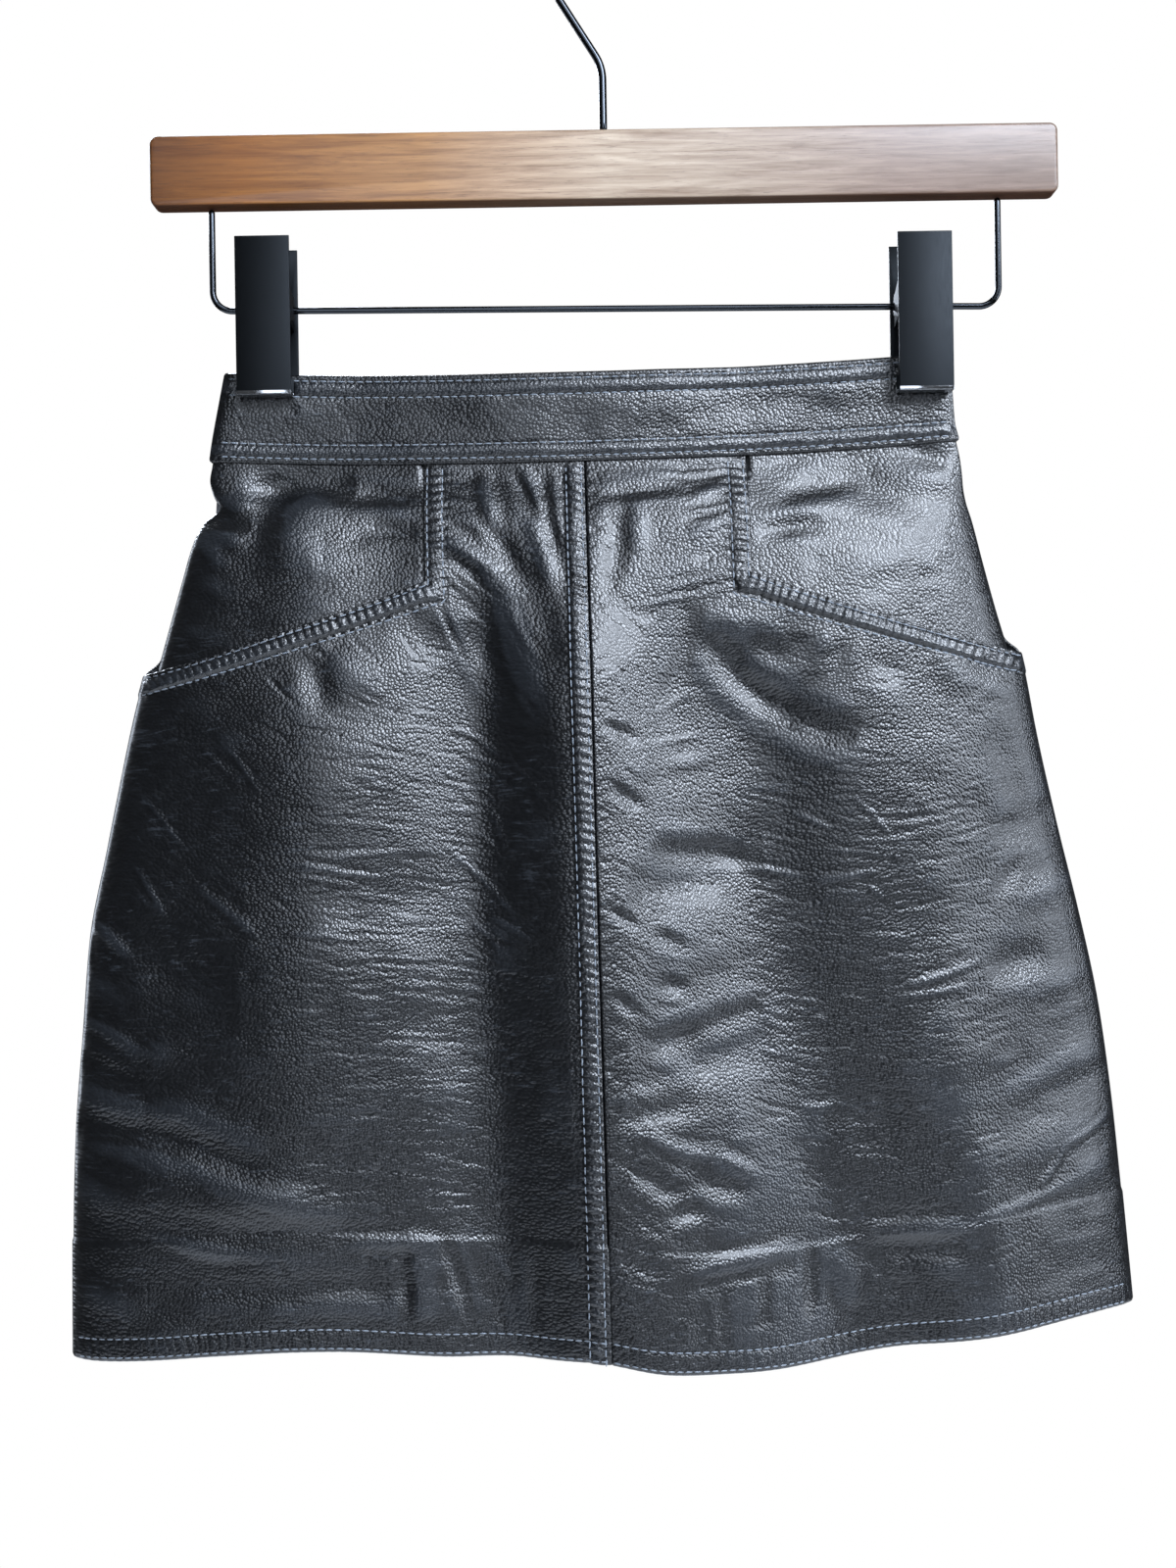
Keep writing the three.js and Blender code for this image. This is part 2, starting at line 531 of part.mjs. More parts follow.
// A round wire through points of the hanger's plane, with its ends rounded off.
function bentWire(points, diameter, sides = 10) {
  const r = diameter / 2;
  const outwards = new THREE.Vector3(0, 1, 0);
  const heading = (k) => points[Math.min(k + 1, points.length - 1)].clone()
    .sub(points[Math.max(k - 1, 0)]).normalize();
  const stations = points.map((p, k) => ({ p, t: heading(k), radius: r }));
  const [first, last] = [stations[0], stations.at(-1)];
  const chamfer = r * 0.45;
  stations.unshift({ p: first.p.clone(), t: first.t, radius: r - chamfer });
  first.p = first.p.clone().addScaledVector(first.t, chamfer);
  stations.push({ p: last.p.clone(), t: last.t, radius: r - chamfer });
  last.p = last.p.clone().addScaledVector(last.t, -chamfer);
  const corners = [];
  const faces = [];
  for (const { p, t, radius } of stations) {
    const across = outwards.clone().cross(t);
    for (const a of spread(0, 2 * Math.PI, sides).slice(0, -1)) {
      const q = p.clone().addScaledVector(across, radius * Math.cos(a));
      corners.push(...q.addScaledVector(outwards, radius * Math.sin(a)).toArray());
    }
  }
  for (let i = 0; i < stations.length - 1; i += 1) {
    for (let j = 0; j < sides; j += 1) {
      const [a, b] = [i * sides + j, i * sides + ((j + 1) % sides)];
      faces.push(a, b, b + sides, a, b + sides, a + sides);
    }
  }
  const end = (stations.length - 1) * sides;
  for (let j = 1; j < sides - 1; j += 1) faces.push(0, j + 1, j, end, end + j, end + j + 1);
  return shape(corners, faces);
}

// Points of an arc in the hanger's plane.
function arc(centre, radius, fromDegrees, toDegrees, count) {
  return spread(fromDegrees, toDegrees, count).map((degrees) => {
    const a = THREE.MathUtils.degToRad(degrees);
    return new THREE.Vector3(centre[0] + radius * Math.cos(a), 0, centre[1] + radius * Math.sin(a));
  });
}

function hookPoints() {
  const r = HOOK.loopRadius;
  const centre = [0, HOOK.wire / 2 - r];
  const lean = THREE.MathUtils.degToRad(HOOK.leanDegrees);
  const leave = [centre[0] - r * Math.cos(lean), centre[1] - r * Math.sin(lean)];
  const meet = leave[1] + leave[0] / Math.tan(lean);
  const bend = HOOK.bendRadius * Math.tan(lean / 2);
  const low = [-HOOK.bendRadius, meet - bend];
  return [
    new THREE.Vector3(0, 0, BAR.topZ + TOUCH),
    new THREE.Vector3(0, 0, BAR.topZ + 10),
    ...arc(low, HOOK.bendRadius, 0, HOOK.leanDegrees, 3),
    ...arc(centre, r, 180 + HOOK.leanDegrees, HOOK.endDegrees, 18),
  ];
}

function railPoints() {
  const { halfSpan, z, slope, corner } = RAIL;
  const top = BAR.topZ - BAR.height - TOUCH;
  const at = (x) => z + slope * x;
  const left = [-halfSpan + corner, at(-halfSpan) + corner];
  const right = [halfSpan - corner, at(halfSpan) + corner];
  return [
    new THREE.Vector3(-halfSpan, 0, top), new THREE.Vector3(-halfSpan, 0, (top + left[1]) / 2),
    ...arc(left, corner, 180, 270, 6),
    ...[-100, 0, 100].map((x) => new THREE.Vector3(x, 0, at(x))),
    ...arc(right, corner, 270, 360, 6),
    new THREE.Vector3(halfSpan, 0, (top + right[1]) / 2), new THREE.Vector3(halfSpan, 0, top),
  ];
}

function woodBar() {
  const { length, height, thick, corner, bevel, topZ } = BAR;
  const [w, h] = [length / 2 - bevel, height / 2 - bevel];
  const outline = new THREE.Shape();
  outline.moveTo(-w + corner, -h);
  outline.lineTo(w - corner, -h);
  outline.absarc(w - corner, -h + corner, corner, -Math.PI / 2, 0, false);
  outline.absarc(w - corner, h - corner, corner, 0, Math.PI / 2, false);
  outline.absarc(-w + corner, h - corner, corner, Math.PI / 2, Math.PI, false);
  outline.absarc(-w + corner, -h + corner, corner, Math.PI, Math.PI * 1.5, false);
  const geometry = new THREE.ExtrudeGeometry(outline, {
    depth: thick - 2 * bevel, bevelEnabled: true, bevelSize: bevel, bevelThickness: bevel,
    bevelSegments: 2, curveSegments: 3,
  });
  geometry.rotateX(Math.PI / 2);
  geometry.translate(0, thick / 2 - bevel, topZ - height / 2);
  return geometryOf(solidOf(geometry));
}

// One half of a clip: a flat plate with its jaw turned in, and two ears round the rail.
function clipHalf(out, earX) {
  const y = (v) => out * v;
  const { faceY, plate, above, below, jawY, jawHeight } = CLIP;
  const profile = [
    [y(faceY), above], [y(faceY), -below], [y(jawY), -below], [y(jawY), -below + jawHeight],
    [y(jawY + plate), -below + jawHeight], [y(jawY + plate), -below + plate],
    [y(faceY - plate), -below + plate], [y(faceY - plate), above],
  ];
  let half = extrudedX(out > 0 ? profile.reverse() : profile, CLIP.width);
  const ear = [
    [y(faceY - plate / 2), CLIP.earTop], [y(faceY - plate / 2), -CLIP.earLow],
    [y(-1), -RAIL.wire - 1], [y(-RAIL.wire), 0], [y(-1), RAIL.wire + 1],
  ];
  for (const side of [-1, 1]) {
    const solid = extrudedX(out > 0 ? [...ear].reverse() : ear, CLIP.earThick).translate(side * earX, 0, 0);
    half = half.add(solid);
  }
  const bore = new THREE.CylinderGeometry(RAIL.wire / 2 + TOUCH, RAIL.wire / 2 + TOUCH, CLIP.width * 2, 16);
  bore.rotateZ(Math.PI / 2);
  return geometryOf(half.subtract(solidOf(bore)));
}

// The bent strip that holds the handles apart, with its closed end over the rail.
function clipSpring() {
  const { faceY, plate, springThick, springWidth } = CLIP;
  const reach = faceY - plate - TOUCH;
  const foot = RAIL.wire / 2 + TOUCH;
  const tip = CLIP.above - 6;
  const inner = [[reach - 2.6, tip - 0.4], [2, foot + 3], [0, foot + springThick + 0.4]];
  const outer = [[reach - springThick, tip - 1.6], [reach, tip + 1.2], [reach - 1.4, tip + 1.6]];
  const right = [...outer, ...inner.slice(0, 2)];
  const left = right.map(([a, b]) => [-a, b]).reverse();
  return geometryOf(extrudedX([
    [-1.4, foot], [1.4, foot], [3.2, foot + 2.4], ...right, inner[2], ...left, [-3.2, foot + 2.4],
  ], springWidth));
}

const hanger = new THREE.Group();
hanger.add(piece('hanger_bar', woodBar(), WALNUT));
hanger.add(piece('hanger_hook', bentWire(hookPoints(), HOOK.wire), CHROME));
hanger.add(piece('clip_rail', bentWire(railPoints(), RAIL.wire), CHROME));
for (const [side, x] of Object.entries(CLIP_X)) {
  const clip = new THREE.Group();
  const earX = CLIP.width / 2 - CLIP.earThick / 2;
  clip.add(piece(`clip_${side}_front`, clipHalf(-1, earX), BLACK_NICKEL));
  clip.add(piece(`clip_${side}_back`, clipHalf(1, earX - CLIP.earThick - TOUCH * 2), BLACK_NICKEL));
  clip.add(piece(`clip_${side}_spring`, clipSpring(), CHROME));
  clip.position.set(x, 0, RAIL.z + RAIL.slope * x);
  hanger.add(clip);
}

const skirt = new THREE.Group();
skirt.add(piece('waistband_front', band('front', -1, 1, 30), LEATHER_BLACK));
skirt.add(piece('waistband_back_left', band('back', -1, 0, 13), LEATHER_BLACK));
skirt.add(piece('waistband_back_right', band('back', 0, 1, 13), LEATHER_BLACK));
skirt.add(piece('front_left', frontPanel(-1, true), LEATHER_BLACK));
skirt.add(piece('front_right', frontPanel(1, false), LEATHER_BLACK));
skirt.add(piece('hip_left', hipPiece(-1), LEATHER_BLACK));
skirt.add(piece('hip_right', hipPiece(1), LEATHER_BLACK));
skirt.add(piece('back_left', backPanel(-1), LEATHER_BLACK));
skirt.add(piece('back_right', backPanel(1), LEATHER_BLACK));
skirt.add(piece('back_zip', zipTape(), ZIP_TAPE));
skirt.add(piece('zip_slider', zipSlider(), BLACK_NICKEL));
skirt.add(piece('zip_pull_tab', pullTab(), BLACK_NICKEL));
skirt.position.set(...SKIRT_AT);
skirt.rotation.y = -THREE.MathUtils.degToRad(SKIRT_TIP_DEGREES);

const object = new THREE.Group();
object.add(hanger, skirt);
export default object;
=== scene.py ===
"""A leather mini skirt on a wooden clip hanger, dressed round its fixed frame.

Sizes are in millimetres in the skirt's own frame (x to the right, y to the back, drop downwards
from the middle of the waistband's top edge) until skirt_to_row turns them to metres.
"""
import math

import bmesh
import bpy
import numpy as np
from mathutils import Matrix, Vector


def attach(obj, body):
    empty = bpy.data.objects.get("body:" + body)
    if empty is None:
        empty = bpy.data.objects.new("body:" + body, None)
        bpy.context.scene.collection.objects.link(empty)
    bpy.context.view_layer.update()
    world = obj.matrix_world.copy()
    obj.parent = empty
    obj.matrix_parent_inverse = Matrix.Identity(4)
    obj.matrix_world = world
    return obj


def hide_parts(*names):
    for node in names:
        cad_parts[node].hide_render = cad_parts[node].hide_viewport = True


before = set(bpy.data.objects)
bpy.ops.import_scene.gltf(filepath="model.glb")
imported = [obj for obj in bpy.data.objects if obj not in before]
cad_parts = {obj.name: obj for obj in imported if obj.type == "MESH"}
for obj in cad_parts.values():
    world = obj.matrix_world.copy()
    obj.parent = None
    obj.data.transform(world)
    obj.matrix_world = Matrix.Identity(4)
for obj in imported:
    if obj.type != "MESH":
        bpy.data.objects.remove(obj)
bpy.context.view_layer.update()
MM = 0.001
BODY = "skirt_on_hanger"
TAB_BODY = "pull_tab"

# Camera, light and floor

CAMERA_AT = (-10.92 * MM, -950 * MM, -364.8 * MM)
CAMERA_ROLL = 0.9
LENS, SENSOR = 50.9, 36
CAMERA_CLIP = 0.05
WHITE, COOL, OVERCAST = "#ffffff", "#e6f0ff", "#eef1f6"

# Softboxes: name, degrees to the right of the camera and up, metres away, width, height, watts
SKIRT_MIDDLE = (0, 0, -0.38)
SOFTBOXES = [
    ("key", 33, 31, 2.4, 1.1, 1.0, 92),
    ("right_side", 69, 4, 2.3, 0.8, 1.3, 27),
    ("top", 22, 54, 2.2, 1.3, 0.6, 15),
    ("front", -4, 14, 2.2, 0.75, 1.1, 9.5),
    ("back_key", 205, 31, 2.4, 1.1, 1.0, 74),
    ("back_left", 235, 4, 2.3, 0.7, 1.2, 9),
]

FLOOR_Z, FLOOR_RADIUS = -1.3, 1.55


def linear(code):
    """An sRGB hex colour as linear red, green, blue and alpha."""
    values = [int(code[k:k + 2], 16) / 255 for k in (1, 3, 5)]
    return [v / 12.92 if v <= 0.04045 else ((v + 0.055) / 1.055) ** 2.4 for v in values] + [1.0]


def placed(name, data):
    """A new object in the scene."""
    made = bpy.data.objects.new(name, data)
    bpy.context.scene.collection.objects.link(made)
    return made


def dressed(name, mesh, node_name, body=BODY):
    """A finished piece, which rides on its body and replaces its solid."""
    piece = placed(name, mesh)
    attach(piece, body)
    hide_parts(node_name)
    return piece


def set_camera():
    lens = bpy.data.cameras.new("photo_camera")
    lens.lens = LENS
    lens.sensor_width = SENSOR
    lens.clip_start = CAMERA_CLIP
    holder = placed("photo_camera", lens)
    holder.location = CAMERA_AT
    holder.rotation_euler = (math.radians(90), math.radians(CAMERA_ROLL), 0)
    bpy.context.scene.camera = holder


def set_lights():
    for name, right, up, away, width, height, watts in SOFTBOXES:
        turn, lift = math.radians(right), math.radians(up)
        toward = Vector((math.sin(turn) * math.cos(lift), -math.cos(turn) * math.cos(lift), math.sin(lift)))
        lamp = bpy.data.lights.new(name, "AREA")
        lamp.shape = "RECTANGLE"
        lamp.size, lamp.size_y = width, height
        lamp.energy = watts
        lamp.color = linear(COOL)[:3]
        holder = placed(name, lamp)
        holder.location = Vector(SKIRT_MIDDLE) + away * toward
        holder.rotation_euler = (-toward).to_track_quat("-Z", "Y").to_euler()


def fill(tree, made, inputs):
    """Fills or links a node's inputs: each with a value, a node, or a node and one of its outputs."""
    for key, value in inputs.items():
        source = value if isinstance(value, tuple) else (value, 0)
        if isinstance(source[0], bpy.types.Node):
            tree.links.new(source[0].outputs[source[1]], made.inputs[key])
        else:
            made.inputs[key].default_value = value


def node(tree, kind, settings=None, inputs=None):
    """Adds one node, sets its settings, and fills or links its inputs."""
    made = tree.nodes.new(kind)
    for key, value in (settings or {}).items():
        setattr(made, key, value)
    fill(tree, made, inputs or {})
    return made


def set_studio():
    """A pale surround: what the camera sees is plain, what lights the skirt is brighter overhead."""
    world = bpy.data.worlds.new("studio")
    bpy.context.scene.world = world
    world.use_nodes = True
    tree = world.node_tree
    tree.nodes.clear()
    where = node(tree, "ShaderNodeTexCoord")
    parts = node(tree, "ShaderNodeSeparateXYZ", {}, {"Vector": (where, "Generated")})
    height = node(tree, "ShaderNodeMapRange", {}, {
        "Value": (parts, "Z"), "From Min": -0.8, "From Max": 1.0, "To Min": 0.035, "To Max": 0.11})
    soft = node(tree, "ShaderNodeBackground", {}, {"Color": linear(OVERCAST), "Strength": height})
    seen = node(tree, "ShaderNodeBackground", {}, {"Color": linear(WHITE), "Strength": 1.0})
    path = node(tree, "ShaderNodeLightPath")
    both = node(tree, "ShaderNodeMixShader", {}, {"Fac": (path, "Is Camera Ray"), 1: soft, 2: seen})
    node(tree, "ShaderNodeOutputWorld", {}, {"Surface": both})
    bpy.context.scene.view_settings.view_transform = "Standard"


def lay_floor(finish):
    mesh = bpy.data.meshes.new("floor")
    board = bmesh.new()
    bmesh.ops.create_circle(board, cap_ends=True, segments=96, radius=FLOOR_RADIUS)
    board.to_mesh(mesh)
    board.free()
    mesh.transform(Matrix.Translation((0, 0, FLOOR_Z)))
    mesh.materials.append(finish)
    placed("floor", mesh)


# Materials

# The leather's bump in millimetres
PEBBLE_HEIGHT, WRINKLE_HEIGHT, HAIR_HEIGHT = 0.25, 0.075, 0.03

# The bar's colour from left to right, staining plus a painted highlight across the middle, as shares of its
# length: its ends and between them
STAIN_AND_SHEEN_ENDS = ("#6b411d", "#776050")
STAIN_AND_SHEEN = ((0.1, "#915c27"), (0.3, "#a37646"), (0.5, "#bca993"), (0.62, "#ae9c89"), (0.82, "#887264"))


def new_finish(name, colour, roughness, metallic=0.0):
    finish = bpy.data.materials.new(name)
    finish.use_nodes = True
    finish.diffuse_color = linear(colour)
    tree = finish.node_tree
    shader = tree.nodes["Principled BSDF"]
    fill(tree, shader, {"Base Color": linear(colour), "Roughness": roughness, "Metallic": metallic})
    return finish, tree, shader


def in_millimetres(tree, stretch=(1, 1, 1)):
    """Object coordinates in millimetres, optionally stretched."""
    where = node(tree, "ShaderNodeTexCoord")
    return node(tree, "ShaderNodeMapping", {}, {
        "Vector": (where, "Object"), "Scale": tuple(1000 * s for s in stretch)})


def laid_flat(tree):
    """Object coordinates in millimetres, laid flat: across and a little of the depth, then height."""
    parts = node(tree, "ShaderNodeSeparateXYZ", {}, {"Vector": in_millimetres(tree)})
    across = node(tree, "ShaderNodeMath", {"operation": "MULTIPLY_ADD"}, {
        0: (parts, "Y"), 1: 0.8, 2: (parts, "X")})
    return node(tree, "ShaderNodeCombineXYZ", {}, {"X": across, "Y": (parts, "Z")})


def hair_creases(tree, place, length, spacing, turn, thin):
    """Hair-thin creases, 1 on the crease and 0 beside it, about so many millimetres long and apart."""
    drawn_out = node(tree, "ShaderNodeMapping", {"vector_type": "TEXTURE"}, {
        "Vector": place, "Rotation": (0, 0, math.radians(turn)), "Scale": (length, spacing, 1)})
    waves = node(tree, "ShaderNodeTexNoise", {"noise_dimensions": "2D"}, {
        "Vector": drawn_out, "Scale": 1.0, "Detail": 1.0, "Roughness": 0.6})
    middle = node(tree, "ShaderNodeMath", {"operation": "SUBTRACT"}, {0: waves, 1: 0.5})
    away = node(tree, "ShaderNodeMath", {"operation": "ABSOLUTE"}, {0: middle})
    return node(tree, "ShaderNodeMapRange", {"interpolation_type": "SMOOTHSTEP"}, {
        "Value": away, "From Min": 0.0, "From Max": thin, "To Min": 1.0, "To Max": 0.0})


def nappa_leather():
    """Blue-black nappa: chrome-tanned lambskin with a satin top coat that sparkles on its pebbles, with
    hair-thin creases, long and level or short and slanting, whose edges catch the light and are painted
    paler as highlights, as are the crests of the relief. The pebbles of the real one are 0.9 mm across,
    and here 1.3 mm, because finer ones blur in the render."""
    finish, tree, shader = new_finish("blue_black_nappa", "#0a0c0f", 0.32)
    place = laid_flat(tree)
    pebble = node(tree, "ShaderNodeTexVoronoi", {"voronoi_dimensions": "2D"}, {
        "Vector": place, "Scale": 0.77, "Randomness": 1.0})
    drawn_out = node(tree, "ShaderNodeMapping", {"vector_type": "TEXTURE"}, {
        "Vector": place, "Rotation": (0, 0, math.radians(-9)), "Scale": (5.0, 2.3, 1)})
    fine = node(tree, "ShaderNodeTexNoise", {"noise_dimensions": "2D"}, {
        "Vector": drawn_out, "Scale": 1.0, "Detail": 2.0, "Roughness": 0.5})
    patches = node(tree, "ShaderNodeTexNoise", {"noise_dimensions": "2D"}, {
        "Vector": place, "Scale": 0.045, "Detail": 3.0, "Roughness": 0.65})
    some = node(tree, "ShaderNodeMapRange", {}, {
        "Value": patches, "From Min": 0.42, "From Max": 0.56, "To Min": 0.0, "To Max": 1.0})
    others = node(tree, "ShaderNodeMapRange", {}, {
        "Value": patches, "From Min": 0.5, "From Max": 0.4, "To Min": 0.0, "To Max": 0.45})
    level = hair_creases(tree, place, 24.0, 2.8, 5, 0.032)
    slant = hair_creases(tree, place, 12.0, 3.2, -36, 0.024)
    long_lines = node(tree, "ShaderNodeMath", {"operation": "MULTIPLY"}, {0: level, 1: some})
    nicks = node(tree, "ShaderNodeMath", {"operation": "MULTIPLY"}, {0: slant, 1: others})
    lines = node(tree, "ShaderNodeMath", {"operation": "MAXIMUM"}, {0: long_lines, 1: nicks})
    broken = node(tree, "ShaderNodeMapRange", {}, {
        "Value": fine, "From Min": 0.42, "From Max": 0.6, "To Min": 0.0, "To Max": 1.0})
    hairs = node(tree, "ShaderNodeMath", {"operation": "MULTIPLY"}, {0: lines, 1: broken})
    # painted highlight: the crests of the relief and the hair-thin creases are painted paler, towards #565c64
    crest_highlight = node(tree, "ShaderNodeAttribute", {"attribute_name": "crest_highlight"})
    painted_crest_highlight = node(tree, "ShaderNodeMapRange", {}, {
        "Value": (crest_highlight, "Fac"), "From Min": 0.55, "From Max": 0.95, "To Min": 0.0, "To Max": 0.1})
    pale = node(tree, "ShaderNodeMath", {"operation": "MULTIPLY_ADD", "use_clamp": True}, {
        0: hairs, 1: 0.2, 2: painted_crest_highlight})
    tone = node(tree, "ShaderNodeMix", {"data_type": "RGBA"}, {
        "Factor": (patches, "Fac"), "A": linear("#060709"), "B": linear("#0c0e11")})
    colour = node(tree, "ShaderNodeMix", {"data_type": "RGBA"}, {
        "Factor": pale, "A": (tone, "Result"), "B": linear("#565c64")})
    gloss = node(tree, "ShaderNodeMapRange", {}, {
        "Value": fine, "From Min": 0.3, "From Max": 0.7, "To Min": 0.275, "To Max": 0.325})
    pebbled = node(tree, "ShaderNodeMath", {"operation": "MULTIPLY"}, {
        0: (pebble, "Distance"), 1: -PEBBLE_HEIGHT})
    uneven = node(tree, "ShaderNodeMath", {"operation": "MULTIPLY_ADD"}, {
        0: fine, 1: WRINKLE_HEIGHT, 2: pebbled})
    creased = node(tree, "ShaderNodeMath", {"operation": "MULTIPLY_ADD"}, {
        0: hairs, 1: HAIR_HEIGHT, 2: uneven})
    bump = node(tree, "ShaderNodeBump", {}, {"Height": creased, "Strength": 1.0, "Distance": MM})
    fill(tree, shader, {
        "Base Color": (colour, "Result"), "Roughness": gloss, "Specular IOR Level": 0.75,
        "Coat Weight": 0.25, "Coat Roughness": 0.19, "Normal": bump})
    return finish


def flesh_side():
    """The inside of the leather: brushed split, matt and a little furry."""
    finish, tree, shader = new_finish("flesh_side", "#24272c", 0.95)
    nap = node(tree, "ShaderNodeTexNoise", {}, {
        "Vector": in_millimetres(tree), "Scale": 2.2, "Detail": 4.0})
    tone = node(tree, "ShaderNodeMix", {"data_type": "RGBA"}, {
        "Factor": nap, "A": linear("#1c1f24"), "B": linear("#2f343b")})
    bump = node(tree, "ShaderNodeBump", {}, {"Height": nap, "Strength": 0.4, "Distance": 0.3 * MM})
    fill(tree, shader, {"Base Color": (tone, "Result"), "Sheen Weight": 0.3, "Normal": bump})
    return finish


def polyester_thread():
    """Twisted polyester topstitching thread, a shade paler than the leather, with a slight shine."""
    finish, tree, shader = new_finish("polyester_thread", "#6d757e", 0.38)
    ply = node(tree, "ShaderNodeTexNoise", {}, {
        "Vector": in_millimetres(tree), "Scale": 3.0, "Detail": 2.0})
    tone = node(tree, "ShaderNodeMix", {"data_type": "RGBA"}, {
        "Factor": ply, "A": linear("#565e67"), "B": linear("#88909a")})
    bump = node(tree, "ShaderNodeBump", {}, {"Height": ply, "Strength": 0.3, "Distance": 0.1 * MM})
    fill(tree, shader, {"Base Color": (tone, "Result"), "Sheen Weight": 0.25, "Normal": bump})
    return finish


def lacquered_hardwood():
    """Hardwood stained walnut and lacquered: straight grain along the bar, dark pores, a low shine and a
    painted highlight across the middle. The underside is painted dark as shade, and has no lacquer, so it is
    dull."""
    finish, tree, shader = new_finish("lacquered_hardwood", "#7a4a2c", 0.42)
    grain_place = in_millimetres(tree, (0.02, 0.35, 0.35))
    pore_place = in_millimetres(tree, (0.12, 2.2, 2.2))
    along = node(tree, "ShaderNodeSeparateXYZ", {}, {"Vector": in_millimetres(tree)})
    grain = node(tree, "ShaderNodeTexNoise", {}, {
        "Vector": grain_place, "Scale": 1.0, "Detail": 6.0, "Roughness": 0.6, "Distortion": 0.5})
    pores = node(tree, "ShaderNodeTexNoise", {}, {
        "Vector": pore_place, "Scale": 1.0, "Detail": 4.0, "Roughness": 0.7})
    ramp = node(tree, "ShaderNodeValToRGB", {}, {"Fac": grain})
    for stop, place, code in zip(ramp.color_ramp.elements, (0.32, 0.68), ("#b3a497", "#ffffff")):
        stop.position, stop.color = place, linear(code)
    side = node(tree, "ShaderNodeMapRange", {}, {
        "Value": (along, "X"), "From Min": -BAR_LENGTH / 2, "From Max": BAR_LENGTH / 2,
        "To Min": 0.0, "To Max": 1.0})
    # painted highlight: the colour ramp along the bar is palest across its middle and greyer towards the
    # right end
    stain_and_sheen = node(tree, "ShaderNodeValToRGB", {}, {"Fac": side})
    stops = stain_and_sheen.color_ramp.elements
    stops[0].color, stops[1].color = linear(STAIN_AND_SHEEN_ENDS[0]), linear(STAIN_AND_SHEEN_ENDS[1])
    for place, code in STAIN_AND_SHEEN:
        stops.new(place).color = linear(code)
    tint = node(tree, "ShaderNodeMix", {"data_type": "RGBA", "blend_type": "MULTIPLY"}, {
        "Factor": 1.0, "A": (ramp, "Color"), "B": (stain_and_sheen, "Color")})
    dark = node(tree, "ShaderNodeMapRange", {}, {
        "Value": pores, "From Min": 0.56, "From Max": 0.72, "To Min": 0.0, "To Max": 0.55})
    faces = node(tree, "ShaderNodeSeparateXYZ", {}, {
        "Vector": (node(tree, "ShaderNodeNewGeometry"), "Normal")})
    # painted shade: faces that look down are darkened towards #3d2416, as if in shadow
    under = node(tree, "ShaderNodeMapRange", {}, {
        "Value": (faces, "Z"), "From Min": -0.75, "From Max": -0.35, "To Min": 0.85, "To Max": 0.0})
    pores_and_underside_shade = node(tree, "ShaderNodeMath", {"operation": "MAXIMUM"}, {0: dark, 1: under})
    colour = node(tree, "ShaderNodeMix", {"data_type": "RGBA"}, {
        "Factor": pores_and_underside_shade, "A": (tint, "Result"), "B": linear("#3d2416")})
    lacquer = node(tree, "ShaderNodeMapRange", {}, {
        "Value": under, "From Min": 0.0, "From Max": 0.85, "To Min": 0.35, "To Max": 0.0})
    shine = node(tree, "ShaderNodeMapRange", {}, {
        "Value": under, "From Min": 0.0, "From Max": 0.85, "To Min": 0.5, "To Max": 0.05})
    bump = node(tree, "ShaderNodeBump", {"invert": True}, {
        "Height": dark, "Strength": 0.25, "Distance": 0.2 * MM})
    fill(tree, shader, {
        "Base Color": (colour, "Result"), "Coat Weight": lacquer, "Coat Roughness": 0.22,
        "Specular IOR Level": shine, "Normal": bump})
    return finish


def plated(name, colour, roughness, low, high, brushed):
    """Plated steel: a smooth metal whose shine varies a little, with hairlines where it was brushed."""
    finish, tree, shader = new_finish(name, colour, roughness, 1.0)
    lines = in_millimetres(tree, (6, 6, 0.25) if brushed else (1, 1, 1))
    marks = node(tree, "ShaderNodeTexNoise", {}, {"Vector": lines, "Scale": 0.8, "Detail": 4.0})
    gloss = node(tree, "ShaderNodeMapRange", {}, {
        "Value": marks, "From Min": 0.3, "From Max": 0.7, "To Min": low, "To Max": high})
    bump = node(tree, "ShaderNodeBump", {}, {"Height": marks, "Strength": 0.06, "Distance": 0.1 * MM})
    fill(tree, shader, {"Roughness": gloss, "Normal": bump})
    return finish


def woven_tape():
    """Polyester zip tape: a matt herringbone weave with threads 0.5 mm apart."""
    finish, tree, shader = new_finish("woven_zip_tape", "#15171a", 0.9)
    weft = node(tree, "ShaderNodeTexWave", {"bands_direction": "DIAGONAL"}, {
        "Vector": in_millimetres(tree), "Scale": 0.6, "Distortion": 0.3})
    tone = node(tree, "ShaderNodeMix", {"data_type": "RGBA"}, {
        "Factor": weft, "A": linear("#0e1012"), "B": linear("#22262b")})
    bump = node(tree, "ShaderNodeBump", {}, {"Height": weft, "Strength": 0.4, "Distance": 0.2 * MM})
    fill(tree, shader, {"Base Color": (tone, "Result"), "Normal": bump})
    return finish


def nylon_coil():
    """Moulded nylon coil: smooth black monofilament."""
    finish, tree, shader = new_finish("nylon_coil", "#1a1c20", 0.35)
    uneven = node(tree, "ShaderNodeTexNoise", {}, {
        "Vector": in_millimetres(tree), "Scale": 2.0, "Detail": 2.0})
    tone = node(tree, "ShaderNodeMix", {"data_type": "RGBA"}, {
        "Factor": uneven, "A": linear("#15171a"), "B": linear("#23262b")})
    fill(tree, shader, {"Base Color": (tone, "Result")})
    return finish


def pale_floor():
    """A plain pale studio floor of painted board."""
    finish, tree, shader = new_finish("pale_floor", "#e9e9e9", 0.9)
    uneven = node(tree, "ShaderNodeTexNoise", {}, {
        "Vector": in_millimetres(tree), "Scale": 0.01, "Detail": 2.0})
    tone = node(tree, "ShaderNodeMix", {"data_type": "RGBA"}, {
        "Factor": uneven, "A": linear("#e4e4e4"), "B": linear("#eeeeee")})
    fill(tree, shader, {"Base Color": (tone, "Result")})
    return finish


# The skirt's surface, from the same sizes as its solids

